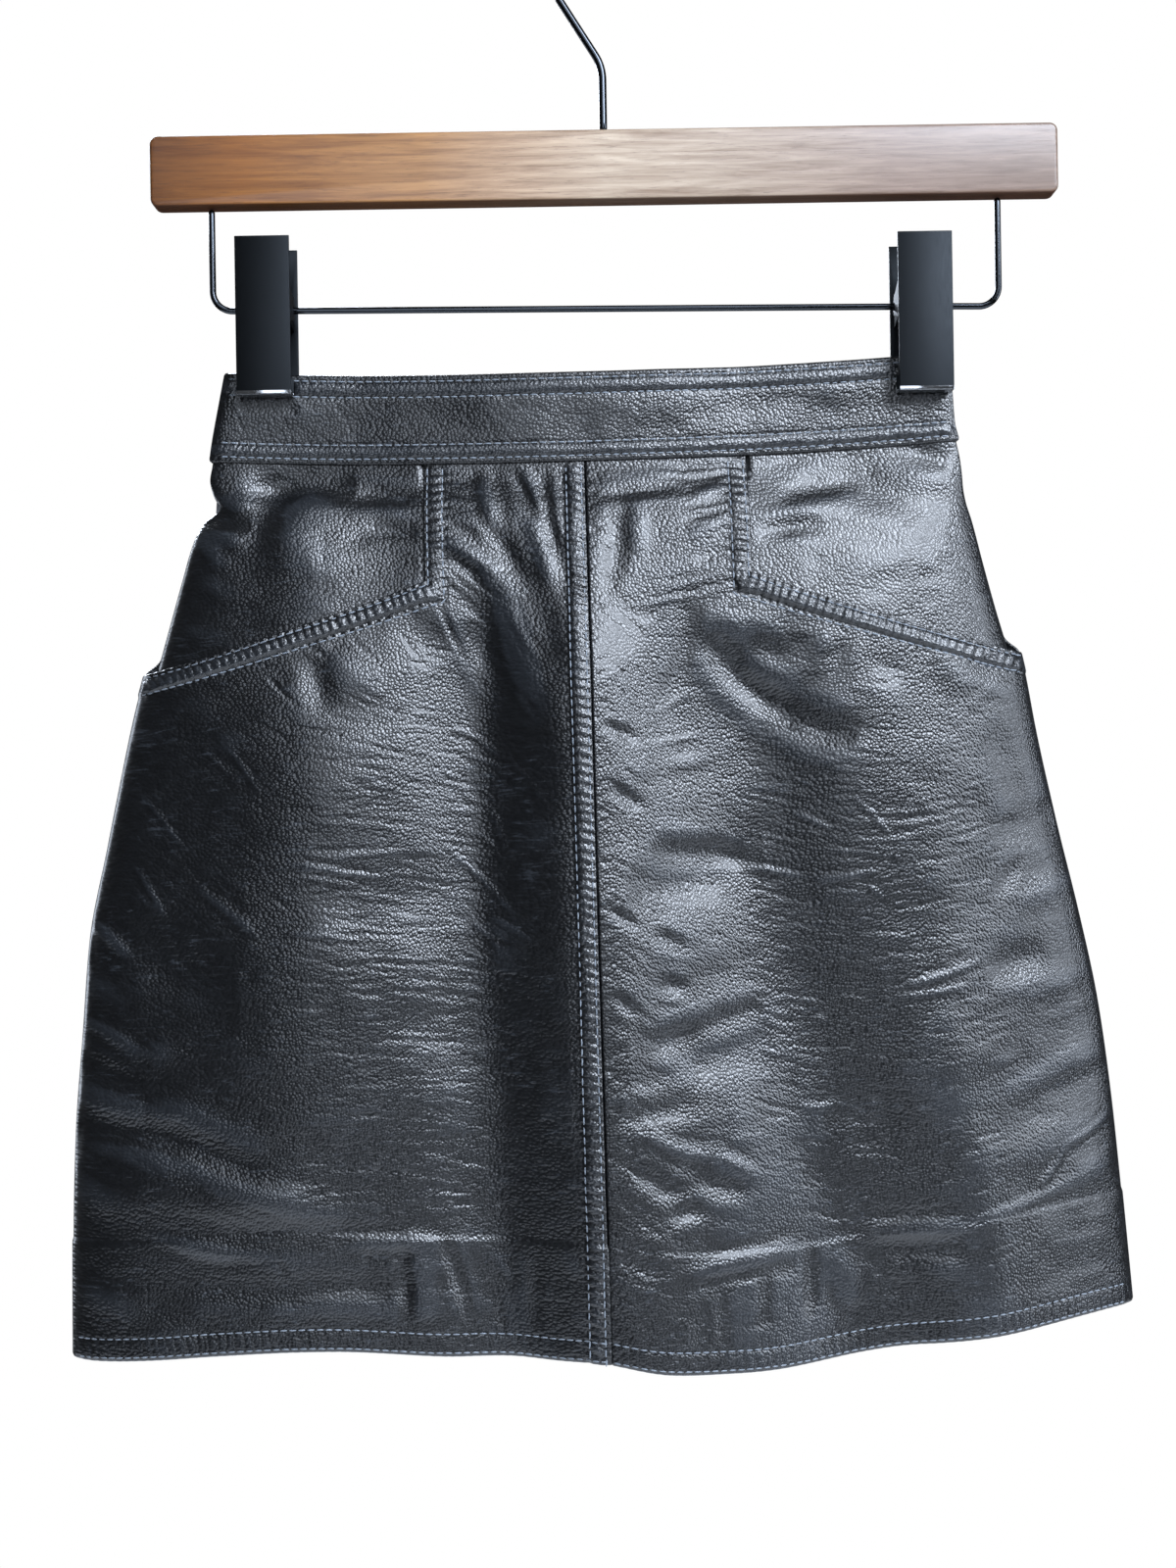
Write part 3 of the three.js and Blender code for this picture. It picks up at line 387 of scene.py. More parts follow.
SKIRT_AT = np.array([-10.6, 0.0, -189.6])
SKIRT_TIP = math.radians(0.75)
LEATHER = 1.4
BAND_HEIGHT, BAND_PROUD, BAND_THICK = 38.3, 1.6, 2.8
SEAM_GAP = 0.4
END_SMILE = 5.0
BOW_DEPTH, BOW_REACH, BOW_GONE = 7.0, 0.78, 120.0
HEM_DROP, TURN_UP, HEM_EXTRA, HEM_PRINT, HEM_STEP = 416.5, 50.0, 1.2, 0.5, 2.0
FELL_WIDTH, FELL_STEP, FELL_RAISE = 8.2, 1.0, 0.7
YOKE_X, YOKE_CORNER, MOUTH_END = 69.0, 89.0, 130.0
MOUTH_LIFT, MOUTH_SIDE_LIFT, MOUTH_REACH, MOUTH_EDGE, UNDERLAP, BAND_FADE = 2.2, 5.0, 60.0, 0.5, 18.0, 20.0
ZIP_TOP, ZIP_BOTTOM, ZIP_GAP, ZIP_BAND_GAP, ZIP_CLOSE = 3.0, 182.0, 3.6, 5.0, 8.0

SECTION_NAMES = ("drop", "left", "right", "left_y", "right_y", "front", "back", "power")
SECTIONS = np.array([
    (0, -151.4, 155, 0, 0, 1.8, 1.8, 60),
    (12, -154, 156.3, 0, 0, 1.8, 1.8, 60),
    (30, -157.8, 157.2, 0, 0, 1.8, 1.8, 60),
    (40, -159.5, 159.5, 0, 0, 2.2, 2.2, 50),
    (46, -160.6, 160.6, 0, 0, 3.6, 3.6, 32),
    (52, -159.4, 161.2, 0, 0, 6, 6, 18),
    (58, -157, 161.6, 0, 0.3, 9, 8.3, 12),
    (64, -163.8, 162.6, 0, 0.6, 11.5, 10.3, 9),
    (72, -168.3, 165, 0, 1, 14, 12, 7),
    (90, -174.2, 169.4, 0, 2, 19, 16, 5),
    (110, -180.2, 174.5, -0.5, 3, 23, 20, 4),
    (130, -186.2, 180, -1, 4, 26, 23, 3.4),
    (160, -195.2, 186.5, -2, 5, 29, 27, 2.9),
    (200, -206.7, 197.4, -3.5, 8, 32, 30, 2.6),
    (240, -216.4, 207.8, -5, 11, 35, 32, 2.4),
    (280, -220.5, 215.8, -6, 13, 37, 34, 2.3),
    (320, -224.2, 220.8, -7.5, 15, 39, 35, 2.3),
    (360, -226, 224.6, -9, 18, 41, 36, 2.3),
    (420, -227.4, 229.4, -10, 21, 43, 37, 2.3),
], float)

# side, x at the top, middle and foot, the drops of start and full height, half width, height
FALLS = [
    ("front", -4, 0, 22, 50, 130, 26, 9),
    ("front", 60, 74, 98, 92, 160, 30, -9),
    ("front", 124, 148, 174, 110, 190, 32, 3.5),
    ("front", -42, -52, -38, 70, 150, 22, -8),
    ("front", -116, -126, -128, 100, 180, 38, 6),
    ("front", -112, -118, -112, 240, 410, 64, -10),
    ("back", -40, -66, -74, 90, 160, 30, 7),
    ("back", -110, -128, -130, 120, 190, 26, -5),
    ("back", 34, 52, 60, 100, 170, 28, 6),
    ("back", 96, 122, 118, 110, 180, 28, -5.5),
]
FALL_END = 440.0

# side, x and drop of both ends, half width, height
CROSSINGS = [
    ("front", -176, 54, -98, 46, 6.5, -3.2),
    ("front", -172, 66, -112, 78, 9, 2.2),
    ("front", 92, 54, 176, 66, 9, -2.2),
    ("front", -222, 232, -150, 262, 14, -2.4),
    ("front", -146, 224, -44, 220, 16, -1.4),
    ("front", -236, 336, -110, 352, 16, 2.8),
    ("front", 12, 220, 70, 210, 12, -2.6),
    ("front", 12, 296, 72, 286, 12, -2.6),
    ("front", 130, 322, 232, 286, 13, -2.6),
    ("back", -176, 56, -100, 48, 7, -2.8),
    ("back", 96, 60, 176, 52, 8, -2.4),
    ("back", -230, 250, -140, 236, 14, -2.6),
    ("back", 130, 300, 230, 322, 14, -2.6),
]

# x, half width and rise of the hem
HEM_RISES = [(-172, 46, 2.6), (-114, 58, 8), (-38, 34, 2.8), (-2, 18, 2.2), (66, 50, -4.3),
             (192, 44, 2.6), (222, 32, 2.7)]


def smooth(a, b, v):
    s = np.clip((v - a) / (b - a), 0, 1)
    return s * s * (3 - 2 * s)


def bell(v, half):
    return np.exp(-(v / half) ** 2)


def mix(a, b, s):
    return a + (b - a) * s


DENSE = np.arange(0, 421, 0.25)


def dense_column(k):
    """One column of SECTIONS at every quarter millimetre, by a cubic that never overshoots its rows."""
    at, rows = SECTIONS[:, 0], SECTIONS[:, k]
    width = np.diff(at)
    slope = np.diff(rows) / width
    product = slope[:-1] * slope[1:]
    total = np.where(np.abs(slope[:-1] + slope[1:]) > 1e-12, slope[:-1] + slope[1:], 1)
    inner = np.where(product <= 0, 0, 2 * product / total)
    tangent = np.concatenate([slope[:1], inner, slope[-1:]])
    i = np.clip(np.searchsorted(at, DENSE, side="left") - 1, 0, len(at) - 2)
    s = (DENSE - at[i]) / width[i]
    return (rows[i] * (1 + 2 * s) * (1 - s) ** 2 + tangent[i] * width[i] * s * (1 - s) ** 2
            + rows[i + 1] * s * s * (3 - 2 * s) + tangent[i + 1] * width[i] * s * s * (s - 1))


DENSE_COLUMNS = {name: dense_column(k) for k, name in enumerate(SECTION_NAMES)}


def column(name, drop):
    return np.interp(drop, DENSE, DENSE_COLUMNS[name])


def side_x(sign, drop):
    return np.where(sign < 0, column("left", drop), column("right", drop))


def fold_relief(side, x, drop, across):
    """How far the large folds and creases move the cloth out."""
    out = np.zeros(np.broadcast(x, drop).shape)
    for where, top, mid, foot, start, full, half, height in FALLS:
        if where != side:
            continue
        s = np.clip((drop - start) / (FALL_END - start), 0, 1)
        bend = 2 * mid - (top + foot) / 2
        path = top * (1 - s) ** 2 + 2 * s * (1 - s) * bend + foot * s * s
        out = out + height * bell(x - path, half) * smooth(start, full, drop)
    for where, x0, d0, x1, d1, half, height in CROSSINGS:
        if where != side:
            continue
        s = np.clip((x - x0) / (x1 - x0), 0, 1)
        out = out + height * bell(drop - mix(d0, d1, s), half) * np.sin(np.pi * s) ** 0.8
    return out * (1 - across ** 10)


def base(side, angle, drop):
    """The cloth's base surface at an angle across, side fold to side fold, and a drop."""
    angle, drop = np.broadcast_arrays(angle, drop)
    out = -1 if side == "front" else 1
    across = np.sin(angle)
    size = np.abs(across)
    x = size * side_x(across, drop)
    lean = mix(column("left_y", drop), column("right_y", drop), (across + 1) / 2)
    round_off = np.sqrt(np.maximum(0, 1 - size ** column("power", drop)))
    bowed = BOW_DEPTH * np.cos(np.pi / 2 * np.minimum(1, size / BOW_REACH)) ** 2
    depth = column(side, drop) * round_off + bowed * (1 - smooth(BAND_HEIGHT, BOW_GONE, drop))
    y = lean + out * (depth + fold_relief(side, x, drop, size))
    return np.stack([x, y, -drop + END_SMILE * across * across], -1)


def normal(side, angle, drop):
    limit = np.pi / 2
    left = np.maximum(angle - 0.004, -limit)
    right = np.minimum(angle + 0.004, limit)
    along = base(side, right, drop) - base(side, left, drop)
    down = base(side, angle, drop + 0.5) - base(side, angle, drop - 0.5)
    n = np.cross(down, along) if side == "front" else np.cross(along, down)
    return n / np.maximum(np.linalg.norm(n, axis=-1, keepdims=True), 1e-12)


def angle_at(x, drop):
    return np.arcsin(np.clip(x / np.abs(side_x(x, drop)), -1, 1))


def lean_at(angle, drop):
    return mix(column("left_y", drop), column("right_y", drop), (np.sin(angle) + 1) / 2)


def hem_drop(x):
    return HEM_DROP - sum(rise * bell(x - at, half) for at, half, rise in HEM_RISES)


def mouth_drop(share):
    return mix(YOKE_CORNER, MOUTH_END, share)


def mouth_share(x, drop):
    return np.clip((np.abs(x) - YOKE_X) / (np.abs(side_x(x, drop)) - YOKE_X), 0, 1)


def pocket_lift(x, drop):
    """How far the front panel stands off round its L-shaped pocket edge."""
    share = mouth_share(x, drop)
    inward = np.maximum(0, YOKE_X - np.abs(x))
    below = np.maximum(0, drop - mouth_drop(share))
    away = np.hypot(inward, below)
    edge = mix(MOUTH_LIFT, MOUTH_SIDE_LIFT, share ** 3)
    strip = MOUTH_EDGE * (1 - smooth(FELL_WIDTH, FELL_WIDTH + FELL_STEP, away))
    return (edge * bell(away, MOUTH_REACH) + strip) * smooth(BAND_HEIGHT, BAND_HEIGHT + BAND_FADE, drop)


def hem_print(x, drop):
    return smooth(0, HEM_STEP, drop - (hem_drop(x) - TURN_UP))


# Fine relief: creases, puckers and grain that the solids leave out

CELL = 0.5
MAP_X = np.arange(-240, 240 + CELL, CELL)
MAP_DROP = np.arange(0, 430 + CELL, CELL)


class ReliefMap:
    """Heights in millimetres over one side of the skirt, laid out by x and drop."""

    def __init__(self):
        self.height = np.zeros((len(MAP_DROP), len(MAP_X)))
        self.drop, self.x = np.meshgrid(MAP_DROP, MAP_X, indexing="ij")

    @staticmethod
    def window(x0, x1, d0, d1):
        j0, j1 = (int(np.clip((v - MAP_X[0]) / CELL, 0, len(MAP_X))) for v in (x0, x1 + CELL))
        i0, i1 = (int(np.clip((v - MAP_DROP[0]) / CELL, 0, len(MAP_DROP))) for v in (d0, d1 + CELL))
        return slice(i0, i1), slice(j0, j1)

    def crease(self, x0, d0, x1, d1, half, height, bend=0.0, lips=0.0):
        """A soft ridge, or a trough where height is negative, along a slightly bent line."""
        reach = 2.6 * half + abs(bend)
        part = self.window(min(x0, x1) - reach, max(x0, x1) + reach, min(d0, d1) - reach, max(d0, d1) + reach)
        length = math.hypot(x1 - x0, d1 - d0)
        ux, ud = (x1 - x0) / length, (d1 - d0) / length
        rx, rd = self.x[part] - x0, self.drop[part] - d0
        s = (rx * ux + rd * ud) / length
        inside = np.clip(s, 0, 1)
        across = rd * ux - rx * ud - bend * 4 * inside * (1 - inside)
        beyond = np.maximum(0, np.abs(s - 0.5) - 0.5) * length
        fade = np.sin(np.pi * np.clip(s, 0.02, 0.98)) ** 0.7 * bell(beyond, half)
        profile = bell(across, half) - lips * bell(np.abs(across) - 1.9 * half, 0.8 * half)
        self.height[part] += height * fade * profile

    def soften(self, rng, step, height, stretch=1.0):
        """Adds smooth random unevenness about step millimetres across."""
        rows = int(430 / step) + 3
        columns = int(480 / (step * stretch)) + 3
        values = rng.standard_normal((rows, columns))
        v = (MAP_DROP - MAP_DROP[0]) / step
        u = (MAP_X - MAP_X[0]) / (step * stretch)
        i, j = v.astype(int), u.astype(int)
        a, b = smooth(0, 1, v - i)[:, None], smooth(0, 1, u - j)[None, :]
        grid = ((values[np.ix_(i, j)] * (1 - b) + values[np.ix_(i, j + 1)] * b) * (1 - a)
                + (values[np.ix_(i + 1, j)] * (1 - b) + values[np.ix_(i + 1, j + 1)] * b) * a)
        self.height += height * grid

    def at(self, x, drop):
        u = np.clip((x - MAP_X[0]) / CELL, 0, len(MAP_X) - 1.001)
        v = np.clip((drop - MAP_DROP[0]) / CELL, 0, len(MAP_DROP) - 1.001)
        j, i = u.astype(int), v.astype(int)
        b, a = u - j, v - i
        h = self.height
        return ((h[i, j] * (1 - b) + h[i, j + 1] * b) * (1 - a)
                + (h[i + 1, j] * (1 - b) + h[i + 1, j + 1] * b) * a)


# Creases on the front, listed one by one: x and drop of both ends, half width, height, bend
FRONT_CREASES = [
    # left hip, under the waistband and round the nipped-in side
    (-126, 43, -142, 80, 7, -1.6, 2), (-117, 50, -112, 112, 15, 2.1, 0), (-98, 50, -71, 53, 3.5, -0.8, 0),
    (-126, 58, -70, 60, 4, 0.6, 0), (-94, 66, -70, 68, 3.5, -0.8, 0), (-120, 72, -92, 73, 4, -0.4, 0),
    (-166, 61, -142, 65, 4, -2.0, 0), (-150, 41, -141, 58, 6, 0.4, 0), (-168, 68, -150, 84, 3, 0.5, 1),
    (-172, 96, -130, 108, 6, -0.6, 2),
    # between the left yoke seam and the centre seam: drag lines that fall to the right
    (-62, 71, -37, 90, 3.4, 1.3, -2), (-40, 86, -24, 142, 6.5, 1.6, -3), (-60, 78, -45, 87, 2.4, -0.9, 0),
    (-40, 60, -24, 92, 4, -1.3, 2), (-43, 40, -33, 74, 3, 0.9, 3), (-25, 62, -15, 92, 3, 1.1, -1),
    (-30, 42, -20, 62, 2.4, -0.7, 1), (-19, 45, -12, 78, 2.2, -0.8, 1), (-28, 39, -17, 64, 2.4, 0.6, -1),
    (-14, 40, -11, 62, 2, 0.4, 0), (-60, 51, -46, 54, 1.2, -0.3, 0), (-60, 57, -44, 60, 1.4, -0.35, 0),
    (-60, 64, -45, 70, 1.4, -0.4, 0), (-60, 45, -48, 46, 1.2, -0.3, 0), (-60, 83, -50, 92, 1.2, -0.35, 0),
    (-62, 97, -52, 124, 1.3, -0.5, 1), (-64, 98, -58, 113, 1, -0.35, 0), (-60, 90, -44, 104, 1, -0.4, 0),
    (-60, 94, -36, 112, 1, -0.35, 0), (-56, 84, -30, 101, 0.9, -0.3, 0), (-36, 100, -20, 128, 1, -0.4, 2),
    (-30, 96, -18, 122, 1, -0.35, 2), (-48, 104, -40, 132, 5, -0.9, 1),
    # under the left pocket mouth
    (-116, 120, -111, 146, 5, -0.9, 0), (-108, 118, -88, 140, 8, 1.0, 0), (-80, 103, -60, 122, 8, -1.1, 0),
    (-120, 114, -108, 123, 0.9, -0.3, 0), (-136, 128, -121, 143, 0.9, -0.35, 0),
    (-134, 131, -127, 138, 0.8, -0.3, 0), (-100, 113, -88, 124, 0.9, -0.3, 0),
    (-80, 110, -70, 124, 0.9, -0.3, 0),
    # long creases that fall across the left panel
    (-60, 150, -36, 165, 1.2, 0.4, -1.5), (-36, 164, -21, 184, 1.1, 0.4, -1.5),
    (-57, 161, -37, 169, 1, 0.35, -1), (-45, 183, -38, 206, 1.1, 0.4, -1.5),
    (-62, 200, -32, 233, 1.2, 0.45, -1), (-54, 230, -38, 246, 1.1, 0.4, 0),
    (-46, 228, -26, 240, 1.1, 0.4, 0), (-132, 234, -98, 238, 1.2, 0.4, 0),
    (-130, 204, -84, 212, 1.2, 0.35, 2), (-112, 205, -60, 203, 1.2, 0.3, -2),
    (-196, 206, -180, 232, 1.3, 0.4, -1), (-192, 178, -172, 202, 1.2, 0.35, -1),
    (-152, 158, -138, 178, 1.1, 0.35, 0), (-164, 158, -146, 176, 1.1, 0.3, 0),
    (-168, 216, -140, 238, 2.2, 0.5, -1),
    # swellings at the left side fold
    (-218, 230, -197, 247, 2.6, 0.9, -1), (-222, 240, -200, 256, 5, -0.8, 0),
    (-220, 273, -193, 286, 3, 0.9, -1), (-224, 288, -196, 297, 4, -0.7, 0),
    (-226, 303, -190, 309, 5, 1.0, 0), (-228, 315, -170, 322, 5, -1.2, 0),
    # the long hollow and swelling above the left hem
    (-196, 312, -140, 336, 7, -1.6, 2), (-180, 326, -120, 347, 5, 1.3, 3), (-226, 344, -192, 352, 7, 0.8, 0),
    (-182, 352, -96, 359, 5, -0.9, 3), (-192, 360, -140, 368, 3, 0.7, 2), (-112, 364, -66, 363, 3.2, 0.9, -1),
    (-200, 379, -60, 381, 5, -0.6, 2), (-128, 386, -94, 389, 5, 0.6, 0), (-222, 388, -190, 392, 6, 0.6, 0),
    # upright puckers where the left hem is turned up
    (-86, 362, -84, 399, 2.6, -1.0, -1), (-68, 361, -58, 399, 2.6, -1.0, -1),
    (-30, 365, -30, 401, 2.6, -0.8, 0), (-77, 363, -74, 397, 4.5, 0.8, 0),
    (-48, 367, -40, 381, 1.6, 0.4, 0), (-20, 366, -11, 379, 4, 0.5, -1), (-48, 384, -44, 401, 1.8, -0.4, 0),
    (-100, 366, -97, 376, 1.6, -0.4, 0), (-136, 368, -132, 376, 1.6, -0.4, 0),
    # between the centre seam and the right yoke seam
    (5, 54, 41, 51, 2.8, -0.6, 0), (4, 46, 42, 45, 4, 0.5, 0), (38, 43.5, 59, 42, 1.2, -0.35, 0),
    (38, 48.5, 60, 46, 1.3, -0.35, 0), (44, 56, 60, 51, 2.4, 0.7, 0), (40, 61, 60, 58, 1.2, -0.35, 0),
    (40, 66, 60, 62, 1.3, -0.35, 0), (41, 73, 61, 66, 3, 0.8, 0), (44, 83, 63, 79, 3.2, -0.7, 0),
    (20, 58, 22, 84, 4, 0.5, 0), (16, 54, 8, 100, 4.2, -0.8, 0), (30, 92, 60, 86, 1.4, -0.35, 0),
    (34, 98, 62, 92, 1.4, -0.35, 0), (20, 102, 46, 97, 1.2, 0.3, 0),
    # the deep fold under the right pocket corner
    (43, 100, 31, 142, 4, -1.0, -2), (45, 108, 84, 116, 6, 1.2, -2), (48, 114, 82, 150, 5.5, -2.2, 2),
    (76, 146, 112, 160, 6, -1.8, 2), (70, 160, 100, 150, 1.2, 0.4, 0), (24, 148, 42, 138, 1.1, 0.35, 0),
    (26, 160, 46, 156, 1.2, 0.35, 0), (62, 128, 90, 134, 5, 0.7, 0),
    # right hip
    (80, 57, 119, 49, 5, -0.9, 0), (71, 73, 100, 68, 4, -0.9, 0), (138, 41, 158, 47, 4, -0.9, 0),
    (76, 64, 124, 60, 5, 0.5, 0), (120, 42, 150, 58, 6, 0.5, 0), (96, 90, 150, 84, 7, 0.4, 0),
    # under the right pocket mouth
    (142, 122, 160, 146, 6, 0.9, 0), (158, 130, 180, 139, 5, -1.1, 0), (94, 112, 100, 126, 5, 0.6, 0),
    (106, 118, 102, 136, 4, -0.5, 1), (118, 128, 140, 148, 5, -0.4, 0),
    # hollows along the right of the centre seam
    (22, 203, 54, 205, 4.6, -1.2, 1), (48, 204, 64, 211, 3.6, -0.9, 0), (20, 284, 42, 278, 4.4, -1.2, 0),
    (38, 279, 68, 270, 4, -1.0, 0), (4, 313, 40, 309, 4.4, -1.1, 0), (16, 320, 44, 332, 3, 0.8, 1),
    (38, 341, 58, 347, 4, -1.1, 0), (10, 332, 32, 348, 4, -1.1, 0), (26, 355, 40, 351, 3, -1.0, 0),
    (4, 368, 22, 377, 5, -1.0, 0), (44, 329, 62, 341, 2.4, 0.7, 0), (28, 379, 80, 372, 3.4, 1.0, -1),
    (22, 238, 36, 244, 3, -0.8, 0), (24, 258, 36, 262, 3, -0.8, 0), (18, 292, 40, 296, 5, 0.8, 0),
    (4, 150, 18, 158, 2.4, -0.8, 0), (6, 176, 20, 186, 2.6, -0.7, 0), (26, 170, 50, 166, 3, 0.5, 0),
    (4, 226, 18, 236, 2.4, -0.7, 0), (6, 262, 16, 272, 2.4, -0.6, 0),
    # long lines on the right of the front
    (60, 213, 88, 219, 1.3, 0.45, -1), (88, 219, 120, 216, 1.3, 0.45, 1), (80, 190, 100, 200, 1.2, 0.4, -1),
    (108, 186, 124, 204, 1.1, 0.35, -1), (76, 236, 100, 226, 1.1, 0.35, 0), (122, 266, 164, 256, 1.4, 0.5, 1),
    (120, 270, 158, 266, 1.3, 0.4, 1), (100, 312, 82, 313, 1.3, 0.4, -2), (112, 222, 122, 230, 1, 0.3, 0),
    # the right side fold
    (162, 262, 190, 254, 6, -1.2, 0), (166, 205, 200, 199, 6, -0.9, 0), (176, 236, 206, 224, 5, 0.8, 0),
    (168, 232, 180, 214, 3, -0.6, 0), (160, 300, 216, 297, 6, 0.8, 0), (166, 313, 218, 300, 5, 1.0, 0),
    (150, 332, 216, 314, 9, -1.3, 0), (182, 356, 196, 339, 1.6, 0.8, 1), (195, 339, 218, 328, 1.6, 0.8, 1),
    (186, 348, 216, 338, 5, -0.7, 0), (198, 352, 220, 348, 7, 0.9, 0), (174, 272, 214, 266, 5, 0.6, 0),
    (100, 305, 152, 350, 12, -1.3, 0), (168, 160, 184, 200, 6, -0.7, 0),
    # the lower right panel swells beside the centre seam and sinks again before the side
    (50, 250, 84, 560, 24, 4.0, 0), (104, 250, 146, 560, 20, -4.0, 0),
    # above and on the right hem
    (106, 368, 152, 366, 3.4, 1.1, 0), (104, 376, 152, 379, 5, -1.0, 0), (85, 371, 82, 403, 3, -1.1, 0),
    (95, 374, 104, 400, 6, 1.0, 0), (112, 379, 123, 397, 3, -0.7, 0), (64, 380, 62, 404, 3, -0.5, 0),
    (46, 384, 46, 410, 2.4, -0.5, 0), (34, 386, 30, 410, 3, 0.4, 0), (124, 380, 150, 385, 4, 0.6, 0),
    (16, 384, 16, 410, 2.6, -0.5, 0), (152, 366, 206, 352, 2.2, 0.5, 1),
    # waistband
    (-152, 8, -96, 24, 7, 0.4, 0), (-90, 14, -30, 26, 6, -0.4, 0), (0, 12, 60, 24, 7, 0.35, 0),
    (70, 14, 140, 26, 6, -0.35, 0), (-140, 26, -80, 20, 5, -0.3, 0), (20, 26, 90, 14, 6, -0.3, 0),
]

# Creases of the same kind on the back, which the photograph doesn't show
BACK_CREASES = [
    (-128, 44, -146, 82, 7, -1.2, 2), (-110, 42, -104, 96, 14, 1.0, 0), (-96, 52, -60, 56, 4, -0.8, 0),
    (-120, 62, -66, 60, 4, 0.6, 0), (-84, 72, -52, 76, 4, -0.7, 0), (-60, 44, -34, 74, 4, 0.9, 2),
    (-44, 46, -24, 80, 3.4, -1.0, 2), (-32, 44, -16, 74, 3, 0.9, 1), (-24, 60, -14, 100, 3, -0.8, 1),
    (-56, 78, -28, 112, 5, 1.2, -2), (-70, 96, -40, 130, 6, -1.0, 2), (20, 44, 40, 78, 3.6, -0.9, -2),
    (34, 42, 58, 72, 4, 0.9, -2), (16, 66, 30, 104, 3, 0.9, 0), (56, 60, 96, 54, 4, -0.8, 0),
    (60, 74, 110, 68, 5, 0.6, 0), (104, 44, 138, 76, 7, -1.0, -2), (120, 66, 160, 62, 5, -0.8, 0),
    (44, 84, 66, 118, 5, -1.0, -2), (58, 96, 90, 128, 6, 1.0, 0), (-150, 90, -118, 128, 5, 0.6, 0),
    (-208, 210, -176, 236, 3, 0.8, -1), (-214, 246, -186, 258, 5, -0.8, 0),
    (-220, 290, -180, 304, 4, 0.9, 0), (-224, 318, -160, 330, 7, -1.3, 2),
    (-196, 338, -130, 350, 5, 1.1, 3), (-150, 356, -84, 360, 5, -0.8, 2),
    (-120, 366, -70, 364, 3.2, 0.8, 0), (-96, 364, -92, 400, 2.8, -0.9, 0),
    (-58, 362, -64, 400, 2.6, -0.8, 0), (-26, 366, -24, 402, 3, -0.7, 0), (-160, 380, -90, 384, 5, -0.5, 0),
    (170, 250, 206, 242, 5, -1.0, 0), (160, 216, 200, 208, 5, 0.8, 0), (150, 300, 214, 290, 6, 0.9, 0),
    (140, 322, 214, 308, 8, -1.3, 0), (176, 352, 212, 332, 1.6, 0.7, 1), (100, 366, 150, 364, 3.4, 1.0, 0),
    (96, 376, 146, 380, 5, -0.9, 0), (72, 370, 76, 402, 3, -1.0, 0), (40, 366, 36, 402, 2.6, -0.7, 0),
    (24, 206, 60, 212, 4.6, -1.3, 0), (-60, 200, -24, 206, 4.4, -1.2, 0), (18, 266, 56, 274, 4.2, -1.3, 0),
    (-70, 286, -26, 280, 4.4, -1.3, 0), (14, 318, 44, 312, 4, -1.2, 0), (-44, 330, -14, 338, 4, -1.1, 0),
    (20, 344, 54, 350, 4, -1.0, 0), (-80, 150, -40, 166, 1.3, 0.5, -1), (36, 160, 70, 150, 1.3, 0.5, -1),
    (-120, 226, -80, 232, 1.2, 0.4, 0), (80, 240, 130, 236, 1.2, 0.4, 1),
    (-150, 170, -128, 190, 1.2, 0.4, 0), (110, 180, 132, 200, 1.2, 0.4, 0), (-140, 8, -70, 24, 7, 0.4, 0),
    (-60, 26, -16, 14, 6, -0.35, 0), (20, 12, 80, 26, 6, 0.35, 0), (90, 26, 146, 14, 6, -0.35, 0),
]

# Fields of short wrinkles: x and drop spans, how many, lengths, slope down to the right in degrees at
# the field's left and right, half width and depth
FRONT_FIELDS = [
    (-124, -36, 142, 268, 208, 10, 44, 2, 12, 0.75, 0.132),
    (-128, -40, 250, 352, 192, 10, 46, -2, 8, 0.75, 0.132),
    (-208, -122, 150, 252, 120, 6, 20, 44, 26, 0.7, 0.11),
    (-222, -128, 250, 356, 88, 6, 22, 34, 12, 0.7, 0.099),
    (-64, -24, 120, 250, 48, 8, 24, 34, 52, 0.8, 0.132),
    (-150, -60, 118, 150, 56, 6, 20, 26, 12, 0.7, 0.11),
    (2, 20, 60, 400, 120, 6, 16, 30, 50, 0.8, 0.165),
    (20, 76, 100, 400, 120, 5, 18, 10, -14, 0.8, 0.088),
    (66, 122, 150, 360, 216, 8, 30, 14, 6, 0.75, 0.132),
    (118, 170, 170, 380, 160, 8, 30, 0, -12, 0.75, 0.121),
    (84, 178, 120, 200, 88, 6, 20, 18, -10, 0.75, 0.094),
    (160, 216, 200, 360, 64, 6, 24, -8, -22, 0.8, 0.083),
    (-180, -60, 366, 404, 48, 4, 14, 6, -6, 0.8, 0.077),
    (10, 120, 376, 408, 56, 4, 12, 4, -6, 0.8, 0.077),
    (-60, 66, 42, 100, 88, 5, 16, 24, -12, 0.75, 0.121),
    (-158, 160, 1, 38, 336, 4, 12, 62, 30, 0.6, 0.072),
]
BACK_FIELDS = [
    (-130, -30, 130, 350, 264, 10, 40, -4, 10, 0.75, 0.121),
    (-212, -120, 140, 356, 160, 6, 22, 40, 14, 0.7, 0.099),
    (24, 120, 130, 360, 264, 8, 36, 8, -4, 0.75, 0.121),
    (110, 212, 140, 360, 160, 6, 24, -4, -26, 0.75, 0.099),
    (-90, 90, 42, 128, 128, 5, 18, 30, -30, 0.75, 0.11),
    (-180, 180, 366, 406, 88, 4, 14, 6, -6, 0.8, 0.077),
    (-158, 160, 1, 38, 304, 4, 12, 60, 34, 0.6, 0.072),
]


